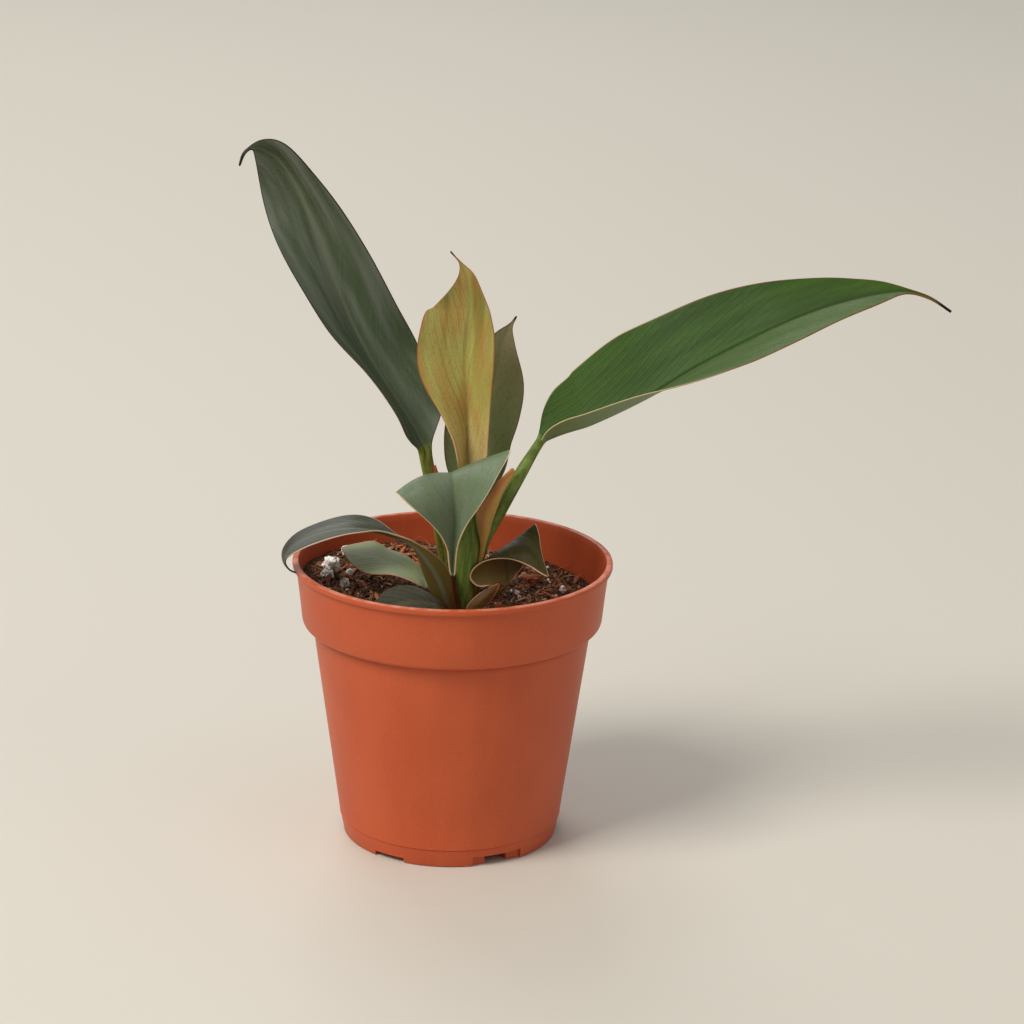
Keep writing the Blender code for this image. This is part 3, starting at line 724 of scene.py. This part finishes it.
def leaf_finish(name, base, middle, tip, rib, under, stalk, stalk_shade, edge, edge_far=None,
                painted_sheen=None, front=None, patch=None, tip_dark=0.0, rib_share=0.6, edge_width=0.42,
                gloss=0.42, specular=0.22, veins=0.16, spacing=7.0, rake=2.4, relief=0.08):
    """Living leaf: colours along the blade, a midrib, fine side veins and a thin margin.
    The sheen colour is a painted sheen, lighter, in long bands beside the midrib; `front` is one for the
    right half, painted light and shade on that half; `patch` blotches."""
    finish = Finish(name, {"Specular IOR Level": specular, "IOR": 1.45})
    along, across = finish.stored("along"), abs(finish.stored("rib"))
    mottle = finish.noise(1100, 4, 0.65)
    bands = finish.grain(0.022, 0.22)
    colour = along.rise(0.0, 0.45).tint(base, middle)
    colour = along.rise(0.45, 0.95).tint(colour, tip)
    # Painted light and shade: the right half of the blade takes its own colour, lighter where that half
    # stands in a sheen, darker where it stands in shade.
    if front:
        colour = (finish.stored("rib").rise(0.0, 1.2) * 0.75).tint(colour, front)
    # Painted sheen: a lighter colour laid in long bands beside the midrib.
    if painted_sheen:
        colour = (bands.rise(0.36, 0.68) * 0.65).tint(colour, painted_sheen)
    if patch:
        colour = (finish.grain(0.05, 0.16, 1.0).rise(0.40, 0.70) * 0.55).tint(colour, patch)
    streak = finish.grain(1.1, 0.10, rake)
    vein = finish.stored("reach") - across * rake + bands * 6.0
    vein = (vein * (math.tau / spacing)).maths("SINE").rise(0.5, 1.0)
    colour = ((vein * 0.25 + streak.rise(0.42, 0.66)) * veins).tint(colour, rib)
    colour = (mottle.rise(0.48, 0.70) * 0.28).tint(colour, rib)
    colour = finish.stored("under").rise(0.4, 0.6).tint(colour, under)
    line = across.rise(1.2, 0.3) * (1 - along.rise(0.7, 1.0) * 0.8)
    colour = (line * rib_share).tint(colour, rib)
    stem = finish.grain(0.10, 0.9).rise(0.38, 0.62) * 0.7 + mottle.rise(0.4, 0.7) * 0.3
    stem = stem.tint(stalk, stalk_shade)
    colour = finish.stored("blade").rise(0.1, 0.8).tint(stem, colour)
    rim = finish.stored("margin").rise(edge_width, edge_width * 0.3)
    rim_colour = along.rise(0.2, 0.5).tint(edge, edge_far or edge)
    colour = (rim * finish.stored("blade").rise(0.2, 0.7)).tint(colour, rim_colour)
    if tip_dark:
        colour = along.rise(1 - tip_dark, 1 - tip_dark * 0.45).tint(colour, paint(26, 19, 14))
    finish.feed("Base Color", colour)
    finish.feed("Roughness", gloss + mottle * 0.12 - bands * 0.08)
    finish.relief(vein * 0.4 + streak * 0.5 + mottle * 0.3, relief)
    return finish.material


def hang(leaf, finish, node):
    """Give a leaf its finish, hang it from the root body, and hide the solid it stands for."""
    leaf.data.materials.append(finish)
    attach(leaf, "root")
    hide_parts(node)


tall = rails_from_stations((0, -0.95, 0.3), [
    (-0.3, -9.4, -7, 2.1, 1.9, 0, 0), (-0.5, -9, 1.2, 2.1, 1.9, 0, 0), (-3, -8.5, 19, 2.2, 1.8, 0, 0),
    (-8.8, -8.5, 49, 2.2, 1.5, 0, 0), (-10, -8, 54.5, 3.0, 1.1, 20, 30),
    (-11.4, -7.6, 57.4, 6.4, 0.9, 34, 34), (-13.5, -7, 61, 11.2, 0.8, 44, 35),
    (-17.3, -6, 67, 13.5, 0.6, 50, 35), (-26, -3, 79.5, 16.5, 0.6, 52, 32),
    (-34, 0, 93.5, 16, 0.6, 38, 30), (-41.5, 3, 111, 14.8, 0.6, 19, 29),
    (-48, 6, 128, 13.8, 0.6, -10, 26), (-53, 8, 138.5, 12.3, 0.6, -30, 20),
    (-58.8, 9, 146.6, 9.6, 0.6, -35, 16), (-63.2, 9, 149.4, 6.4, 0.5, -30, 12),
    (-65.9, 8.6, 150.5, 2.9, 0.3, -20, 10), (-67.6, 8.2, 150.5, 0.6, 0.25, 0, 0),
    (-70, 7.5, 148.6, 0.45, 0.22, 0, 0), (-71.4, 6, 144.6, 0.22, 0.15, 0, 0)], 141)


def row_near(midrib, x, y, height):
    """The row of a leaf that is nearest to a place, with its height above the mix."""
    return int(np.argmin(np.linalg.norm(midrib - (x, y, height + SOIL_LEVEL), axis=1)))


# The left margin lies inside the bend under the hook, so one curve takes it across there.
spine, left_margin = tall[0], tall[1]
first = row_near(spine, -49.0, 6.4, 130)
last = row_near(spine, -67.6, 8.2, 150.5)
start, end = left_margin[first].copy(), left_margin[last].copy()
leave = (start - left_margin[first - 1]) * (last - first)
arrive = (end - start) * 0.9
t = np.linspace(0, 1, last - first + 1)[:, None]
left_margin[first:last + 1] = glide(t, start, end, leave, arrive)
hang(grow("tall_left_leaf", tall, 1.3, (0.3, 1.6, 0.4)),
     leaf_finish("dark_grey_green_leaf", paint(70, 84, 56), paint(62, 76, 50), paint(56, 64, 42),
                 paint(98, 104, 78), paint(76, 86, 42), paint(118, 132, 52), paint(92, 72, 32),
                 paint(96, 70, 42), paint(34, 28, 20), painted_sheen=paint(110, 113, 102), tip_dark=0.045,
                 gloss=0.40), "leaf_left_tall")

# ---------------------------------------------------------------- long right leaf
# The longest leaf reaches out to the right: bright green, cupped, with a cream margin near
# its stalk, an orange-brown margin and a black point at its end.
long_right = rails_from_stations((-1, -0.1, 0), [
    (5.8, -9, -7, 2.2, 2.2, 0, 0), (6.5, -9, 1.2, 2.2, 2.2, 0, 0), (9.5, -10.5, 21, 2.3, 2.4, 0, 0),
    (15.5, -11.5, 34, 2.6, 2.5, 0, 0), (22, -12, 46.5, 2.4, 2.2, 0, 0),
    (28.5, -11, 57.5, 1.8, 1.5, 5, 20), (31.5, -11, 59.3, 8, 1, 8, 40), (37, -11, 61.5, 15, 0.8, 8, 43),
    (45, -11, 64.2, 19, 0.6, 8, 42), (63, -10, 73.3, 23.5, 0.6, 13, 38),
    (79, -9, 83.5, 22, 0.6, 19, 28), (93, -8, 91.2, 20, 0.6, 22, 24),
    (107, -8, 98.5, 16.5, 0.6, 22, 19), (120, -8, 104, 12.3, 0.6, 22, 14),
    (131.5, -9, 107.8, 8.2, 0.6, 22, 9), (140, -10, 110, 4.4, 0.5, 25, 5),
    (147, -11, 110.6, 1.3, 0.35, 15, 5), (154, -12.5, 109, 0.6, 0.25, 0, 0),
    (161, -14, 104.8, 0.2, 0.14, 0, 0)], 161)
# The grey-green colour given for its right half is a painted sheen.
hang(grow("long_right_leaf", long_right, 1.3, (0.4, 2.3, 1.2)),
     leaf_finish("bright_green_leaf", paint(68, 94, 36), paint(44, 70, 12), paint(50, 70, 20),
                 paint(34, 54, 12), paint(92, 112, 54), paint(124, 142, 70), paint(66, 86, 34),
                 paint(196, 180, 134), paint(124, 80, 42), painted_sheen=paint(62, 94, 22),
                 front=paint(98, 114, 76), tip_dark=0.05, gloss=0.44, specular=0.16,
                 veins=0.22, rake=3.2),
     "leaf_right_long")

# ---------------------------------------------------------------- new centre leaf
# The newest leaf stands in the middle, still yellow-olive and soft, folded along its midrib
# and brown at its margins. Its broad light green stalk stands in front of the others.
centre = rails_from_stations((0, -0.95, 0.3), [
    (4.6, -16, -7, 2.2, 1.6, 0, 0), (4.6, -15.8, 1.2, 2.2, 1.6, 0, 0), (4.6, -15, 13, 3.2, 1.7, 0, 0),
    (5.5, -14.2, 22.2, 3.5, 1.6, 0, 0), (5, -12.5, 32, 2.8, 1.4, 0, 10),
    (4.6, -8.5, 43.4, 5.5, 1.1, 10, 50), (4.5, -7.5, 50.4, 8.2, 0.8, 14, 54),
    (4.4, -7.5, 58.4, 9, 0.6, 10, 50), (4.2, -7.5, 68, 10.8, 0.6, -4, 40),
    (3.1, -7, 82.2, 15.5, 0.6, -19, 31), (3.7, -6, 95, 15, 0.6, -22, 30),
    (4.4, -5, 100.4, 12.3, 0.6, -26, 30), (3.8, -3.5, 109.4, 4.8, 0.6, -20, 28),
    (1.7, -2, 114.8, 0.7, 0.3, 0, 10), (-2, -2, 119.3, 0.18, 0.12, 0, 0)], 121)
hang(grow("new_centre_leaf", centre, 1.2, (0.15, 1.5, 2.0)),
     leaf_finish("yellow_olive_leaf", paint(246, 212, 150), paint(170, 156, 80), paint(80, 84, 30),
                 paint(104, 92, 42), paint(140, 124, 60), paint(124, 142, 62), paint(92, 112, 44),
                 paint(214, 170, 124), paint(150, 92, 48), painted_sheen=paint(178, 178, 100),
                 patch=paint(176, 116, 60), tip_dark=0.03, gloss=0.42, veins=0.26, rake=3.4,
                 rib_share=0.45, relief=0.14), "leaf_centre_new")

# ---------------------------------------------------------------- leaf behind
# A smaller leaf stands behind the new one, dark green with a brown-olive point and a
# thin reddish-brown margin.
behind = rails_from_stations((0, -0.95, 0.3), [
    (4.2, -4.8, -7, 1.8, 1.5, 0, 0), (4.5, -4.8, 1.2, 1.8, 1.5, 0, 0), (9.5, -4.2, 17, 1.9, 1.5, 0, 0),
    (9.8, -2.5, 24.2, 1.9, 1.4, 0, 0), (7.6, 0, 34.4, 4.5, 0.9, 0, 20), (7.2, 1.5, 44, 10.3, 0.7, 0, 22),
    (7.6, 2.5, 55.6, 12.2, 0.6, 0, 21), (10.1, 3.5, 65.5, 12.6, 0.6, 0, 20),
    (12.4, 5, 74, 11.3, 0.6, 0, 20), (14.3, 6.5, 83.4, 7, 0.6, 0, 20), (16.5, 8, 89.2, 3, 0.6, 0, 15),
    (18.1, 8.5, 92.1, 0.8, 0.3, 0, 10), (20.1, 9.5, 95, 0.2, 0.14, 0, 0)], 111)
hang(grow("leaf_behind", behind, 1.0, (0.3, 1.8, 0.0)),
     leaf_finish("shaded_green_leaf", paint(124, 148, 84), paint(146, 156, 102), paint(158, 136, 102),
                 paint(80, 88, 44), paint(92, 98, 52), paint(112, 132, 62), paint(84, 96, 44),
                 paint(120, 96, 60), paint(128, 78, 50), painted_sheen=paint(150, 152, 108), tip_dark=0.03,
                 gloss=0.42, rib_share=0.3), "leaf_back")

# ---------------------------------------------------------------- broad front leaf
# A broad grey-green leaf in front, rolled to a narrow funnel at its base, spreading wide and
# then turning over backwards at the top. Its margin is cream.
front = rails_from_points([
    ((2.6, -19.6, -7), (1.9, -19.6, -7), (3.3, -19.6, -7), 0.6),
    ((2.4, -20.2, 1.2), (1.6, -20.2, 1.2), (3.2, -20.2, 1.2), 0.6),
    ((1.3, -21.6, 8.0), (0.6, -21.7, 8.0), (2.0, -21.7, 8.0), 0.6),
    ((0.6, -22.3, 13.6), (-0.1, -22.6, 13.7), (1.3, -22.6, 13.7), 0.5),
    ((0.5, -22.2, 15.6), (-0.5, -23.0, 16.4), (1.4, -23.0, 16.6), 0.45),
    ((0.5, -22.2, 18.8), (-1.0, -23.6, 20.0), (1.6, -23.5, 20.2), 0.5),
    ((0.6, -22.4, 22.6), (-1.6, -24.4, 24.0), (1.9, -24.2, 24.2), 0.6),
    ((0.9, -22.8, 27.6), (-4.0, -26.4, 29.6), (2.8, -25.6, 28.6), 0.6),
    ((1.0, -23.6, 32.7), (-7.6, -28.6, 34.6), (5.2, -27.2, 34.2), 0.6),
    ((0.8, -24.4, 37.7), (-12.1, -30.4, 39.4), (8.4, -28.8, 39.3), 0.6),
    ((0.3, -24.8, 42.3), (-15.6, -30.0, 42.4), (11.7, -29.0, 44.7), 0.6),
    ((-0.2, -24.2, 46.8), (-17.6, -27.6, 43.5), (15.5, -27.0, 51.5), 0.6),
    ((-0.6, -22.2, 49.5), (-18.3, -23.6, 43.3), (19.0, -22.6, 57.9), 0.6),
    ((-0.3, -19.6, 48.2), (-12.6, -20.4, 43.6), (11.6, -19.4, 52.0), 0.6),
    ((0.3, -18.0, 43.6), (-5.6, -18.4, 41.6), (6.4, -17.8, 45.6), 0.6),
    ((1.2, -17.2, 38.6), (0.9, -17.2, 38.6), (1.5, -17.2, 38.6), 0.3)], 121)
hang(grow("broad_front_leaf", front, 0.9, (0.2, 1.4, 0.5), 0.42, leafy=(1.5, 2.8), puff=(2.2, 0.5)),
     leaf_finish("blue_green_leaf", paint(106, 130, 86), paint(102, 116, 86), paint(114, 124, 102),
                 paint(74, 90, 56), paint(92, 104, 64), paint(66, 34, 18), paint(84, 32, 20),
                 paint(226, 196, 146), paint(206, 184, 150), painted_sheen=paint(118, 126, 108),
                 front=paint(106, 122, 88), gloss=0.40, edge_width=0.5, rib_share=0.35, rake=2.0),
     "leaf_front_broad")

# ---------------------------------------------------------------- leaf over the rim
# An old leaf on a broad dark red-brown stalk that leans left and lays its grey-green blade
# over the rim, with the black point down outside the pot.
def at_rim(turn, outward, above):
    """A point by its degrees from the front, and its distances out and up from the lip."""
    angle = math.radians(turn)
    radius = RIM_RADIUS + outward
    return (math.sin(angle) * radius, -math.cos(angle) * radius, POT_HEIGHT - SOIL_LEVEL + above)


over_rim = rails_from_stations((0.2, 1, 0), [
    (-0.2, -17.6, -7, 2.8, 1.2, 0, 0), (-0.8, -18, 1.6, 3.3, 1.2, 0, 0),
    (-2.9, -19.5, 9, 4.7, 1.3, 0, 5),
    (-6.9, -19.5, 16.5, 4.5, 1.2, -10, 10), (-13, -18, 23, 2.2, 0.9, -40, 20),
    (-20, -16, 25.6, 2.4, 0.8, -75, 30), (-27, -14.5, 26.8, 6, 0.7, -90, 22),
    (-35, -14.5, 27.3, 8.6, 0.6, -90, 10), (*at_rim(-72, -7.5, 12.2), 9.4, 0.6, -90, 4),
    (*at_rim(-73, -0.5, 9.2), 8.6, 0.6, -90, 4), (*at_rim(-73.5, 3.3, 6), 6, 0.6, -90, 4),
    (*at_rim(-73, 4, 3), 2.4, 0.6, -90, 4), (*at_rim(-72, 2.6, 0.6), 1, 0.5, -90, 0),
    (*at_rim(-70, 0.9, 0.1), 0.4, 0.3, -90, 0)], 121)
hang(grow("arched_rim_leaf", over_rim, 0.8, (0.2, 1.6, 0.9)),
     leaf_finish("grey_over_rim_leaf", paint(76, 76, 50), paint(58, 62, 46), paint(40, 42, 30),
                 paint(104, 104, 88), paint(88, 76, 34), paint(52, 42, 12), paint(104, 38, 20),
                 paint(140, 96, 66), paint(196, 170, 144), painted_sheen=paint(92, 94, 80),
                 tip_dark=0.16, gloss=0.36, specular=0.26), "leaf_over_rim")

# ---------------------------------------------------------------- low left leaf
# A mid grey-green leaf lies low over the mix at the left, its end cut square and its margin
# mottled tan and pink.
low_left = rails_from_points([
    ((-2.4, -13.2, -6), (-2.4, -14.0, -6), (-2.4, -12.4, -6), 1.0),
    ((-3.0, -13.2, 1.8), (-3.4, -14.2, 1.6), (-2.6, -12.2, 2.0), 1.0),
    ((-6.8, -13.4, 6.6), (-7.6, -14.8, 6.2), (-6.0, -12.0, 7.0), 0.9),
    ((-11.2, -13.0, 10.6), (-10.5, -17.3, 8.9), (-12.0, -8.6, 13.6), 0.7),
    ((-16.0, -11.4, 13.0), (-15.8, -17.5, 11.1), (-16.4, -3.6, 15.4), 0.6),
    ((-21.0, -9.0, 14.2), (-20.6, -16.5, 12.0), (-21.6, 0.6, 15.9), 0.6),
    ((-27.0, -6.0, 15.0), (-27.3, -14.0, 11.7), (-26.8, 3.6, 17.2), 0.6),
    ((-31.5, -3.8, 15.0), (-31.6, -10.8, 12.3), (-31.9, 4.3, 16.0), 0.6),
    ((-34.8, -1.6, 14.9), (-34.7, -6.0, 13.3), (-35.0, 3.9, 15.6), 0.6),
    ((-36.8, 0.8, 15.0), (-36.6, -1.2, 14.4), (-37.2, 2.6, 15.4), 0.5),
    ((-37.6, 1.8, 15.2), (-37.5, 1.5, 15.1), (-37.7, 2.1, 15.3), 0.3)], 91)
hang(grow("low_left_leaf", low_left, 0.7, (0.35, 1.4, 0.0)),
     leaf_finish("mid_green_leaf", paint(136, 146, 100), paint(132, 140, 102), paint(134, 136, 94),
                 paint(150, 154, 118), paint(104, 108, 66), paint(112, 116, 62), paint(84, 84, 44),
                 paint(176, 138, 112), paint(168, 128, 100), painted_sheen=paint(138, 148, 112), gloss=0.5,
                 edge_width=0.8, rib_share=0.25), "leaf_left_low")

# ---------------------------------------------------------------- low front leaf
# A small near-black leaf lies low over the mix behind the rim at the front, finely veined
# and satin. It is nearly flat, on a short stalk.
low_front = rails_from_stations((0.4, -0.4, 0.8), [
    (0, -20, -6, 1.2, 0.9, 0, 0), (-1.5, -22, 2.2, 1.2, 0.9, 0, 0), (-6, -26, 5.5, 3, 0.8, 10, 10),
    (-12, -30.5, 7.6, 6.2, 0.6, 20, 6), (-18.5, -34.5, 7.6, 6, 0.6, 20, 2),
    (-23.5, -37.5, 6.4, 3, 0.6, 20, 0), (-27, -39, 4.8, 0.4, 0.3, 20, 0)], 81)
hang(grow("low_front_leaf", low_front, 0.6, (0.15, 1.5, 0.0)),
     leaf_finish("near_black_green_leaf", paint(64, 58, 36), paint(58, 56, 36), paint(52, 50, 34),
                 paint(96, 92, 70), paint(58, 58, 40), paint(66, 54, 28), paint(70, 44, 24),
                 paint(70, 58, 40), painted_sheen=paint(76, 74, 56), gloss=0.26, specular=0.5,
                 veins=0.45, spacing=4.0, relief=0.14), "leaf_front_low")

# ---------------------------------------------------------------- curled right leaf
# A small leaf at the right, rolled forwards like a trumpet, so that its brown-olive
# underside shows below and its dark glossy upper side above. Its margin is peach.
curled = rails_from_points([
    ((8.2, -13.4, -6), (9.9, -13.4, -6), (6.5, -13.4, -6), 1.6),
    ((9.0, -13.4, 1.8), (10.5, -13.2, 0.8), (7.5, -13.6, 2.8), 1.6),
    ((13.8, -13.0, 5.2), (15.1, -12.6, 3.8), (12.5, -13.4, 6.6), 1.5),
    ((17.6, -11.6, 7.9), (19.2, -11.0, 7.8), (15.6, -13.4, 8.4), 1.1),
    ((18.2, -10.6, 10.2), (21.5, -10.5, 11.1), (12.1, -17.5, 9.3), 0.7),
    ((18.0, -9.8, 12.2), (23.0, -10.2, 12.8), (8.6, -18.6, 9.4), 0.6),
    ((17.9, -9.2, 14.4), (24.6, -9.4, 15.4), (6.1, -19.0, 12.0), 0.6),
    ((18.0, -8.6, 17.0), (25.9, -8.0, 18.6), (6.4, -18.8, 14.6), 0.6),
    ((18.6, -8.0, 19.8), (27.0, -5.8, 23.3), (8.6, -17.8, 16.7), 0.6),
    ((20.2, -8.2, 22.2), (27.6, -5.0, 27.3), (11.8, -16.8, 17.9), 0.6),
    ((22.7, -10.6, 22.4), (28.9, -8.0, 24.7), (15.6, -16.0, 18.3), 0.6),
    ((25.9, -14.4, 20.7), (29.5, -12.0, 21.1), (20.3, -15.8, 17.9), 0.6),
    ((29.1, -17.0, 17.6), (30.5, -15.8, 17.5), (25.6, -17.4, 16.4), 0.6),
    ((31.1, -18.4, 15.0), (31.5, -18.0, 15.4), (29.3, -18.6, 14.4), 0.5),
    ((32.1, -19.0, 13.5), (32.3, -19.0, 13.7), (31.8, -19.0, 13.3), 0.3)], 111)
hang(grow("curled_right_leaf", curled, 0.7, (0.0, 1.0, 0.0), 0.3),
     leaf_finish("dark_olive_leaf", paint(66, 56, 22), paint(70, 64, 26), paint(70, 64, 30),
                 paint(46, 48, 20), paint(108, 88, 44), paint(112, 90, 42), paint(84, 58, 28),
                 paint(222, 180, 142), painted_sheen=paint(86, 80, 46), gloss=0.36, specular=0.15,
                 edge_width=0.5, rib_share=0.3), "leaf_right_curled")

# ---------------------------------------------------------------- sheaths
# Three papery bud sheaths clasp the stalks: a broad pink-red and ochre one on the long
# leaf's stalk, a thin one behind the tall leaf's, and a short curled one at the front.
broad_sheath = rails_from_points([
    ((6.8, -13.4, 1.5), (6.0, -13.2, 1.5), (7.6, -13.2, 1.5), 0.5),
    ((8.6, -14.0, 12.0), (7.7, -13.7, 12.0), (9.5, -13.7, 12.0), 0.5),
    ((10.2, -15.6, 21.6), (9.3, -14.6, 21.3), (11.0, -13.9, 22.1), 0.4),
    ((10.7, -17.0, 26.2), (9.1, -15.9, 25.5), (12.2, -14.8, 27.0), 0.35),
    ((10.9, -17.9, 31.0), (8.4, -16.9, 30.5), (13.4, -15.0, 31.7), 0.35),
    ((11.6, -18.1, 35.4), (8.1, -17.1, 34.8), (14.9, -15.2, 36.3), 0.35),
    ((14.4, -17.5, 41.0), (11.6, -16.8, 40.3), (16.8, -15.2, 41.5), 0.35),
    ((16.9, -16.8, 46.0), (15.0, -16.4, 45.5), (19.2, -15.0, 46.2), 0.3),
    ((19.2, -15.9, 48.9), (18.0, -15.8, 48.4), (20.3, -15.3, 48.8), 0.25),
    ((19.5, -15.4, 49.7), (19.1, -15.4, 49.6), (19.9, -15.4, 49.7), 0.2)], 81)
hang(grow("broad_sheath", broad_sheath, 0.3, across=25, leafy=(0.5, 1.0), fold_round=0.5),
     leaf_finish("ochre_red_sheath", paint(138, 106, 50), paint(206, 172, 92), paint(214, 112, 86),
                 paint(176, 134, 68), paint(132, 120, 56), paint(120, 112, 48), paint(120, 60, 34),
                 paint(150, 84, 56), paint(190, 96, 78), painted_sheen=paint(196, 158, 84),
                 front=paint(196, 182, 88), patch=paint(166, 96, 60), gloss=0.45, veins=0.3,
                 rib_share=0.1),
     "cataphyll_right")

thin_sheath = rails_from_stations((0, -1, 0), [
    (1.6, -11.8, -4, 0.9, 0.5, 0, 0), (1.2, -11.8, 2.2, 1.0, 0.4, 0, 0),
    (0.6, -11.8, 12, 1.6, 0.5, 0, -20), (-1, -11.6, 24, 1.8, 0.5, 0, -20),
    (-3.6, -11.2, 37, 1.6, 0.5, 0, -15), (-6.2, -11, 49, 0.4, 0.3, 0, 0)], 61)
hang(grow("thin_sheath", thin_sheath, 0.3, across=17, leafy=(0.5, 1.0)),
     leaf_finish("red_brown_sheath", paint(126, 120, 58), paint(140, 96, 56), paint(168, 74, 54),
                 paint(150, 100, 60), paint(120, 104, 58), paint(118, 112, 52), paint(118, 60, 34),
                 paint(170, 90, 68), gloss=0.5), "cataphyll_left")

curled_sheath = rails_from_stations((0, -1, 0.3), [
    (5.6, -19.6, -3, 1.4, 0.5, 0, 0), (7, -19.5, 2, 1.9, 0.5, 0, -10), (9.8, -19, 4.2, 2.6, 0.5, 0, -20),
    (12.8, -17.6, 6.8, 2.0, 0.5, 0, -20), (15.8, -16.2, 9.6, 0.4, 0.3, 0, 0)], 51)
hang(grow("curled_sheath", curled_sheath, 0.3, across=21, leafy=(0.5, 1.0)),
     leaf_finish("brown_pink_sheath", paint(84, 56, 24), paint(92, 68, 30), paint(112, 68, 40),
                 paint(76, 48, 24), paint(104, 84, 46), paint(100, 74, 36), paint(88, 46, 26),
                 paint(196, 124, 104), painted_sheen=paint(104, 82, 38), gloss=0.45, rib_share=0.2),
     "cataphyll_curled")
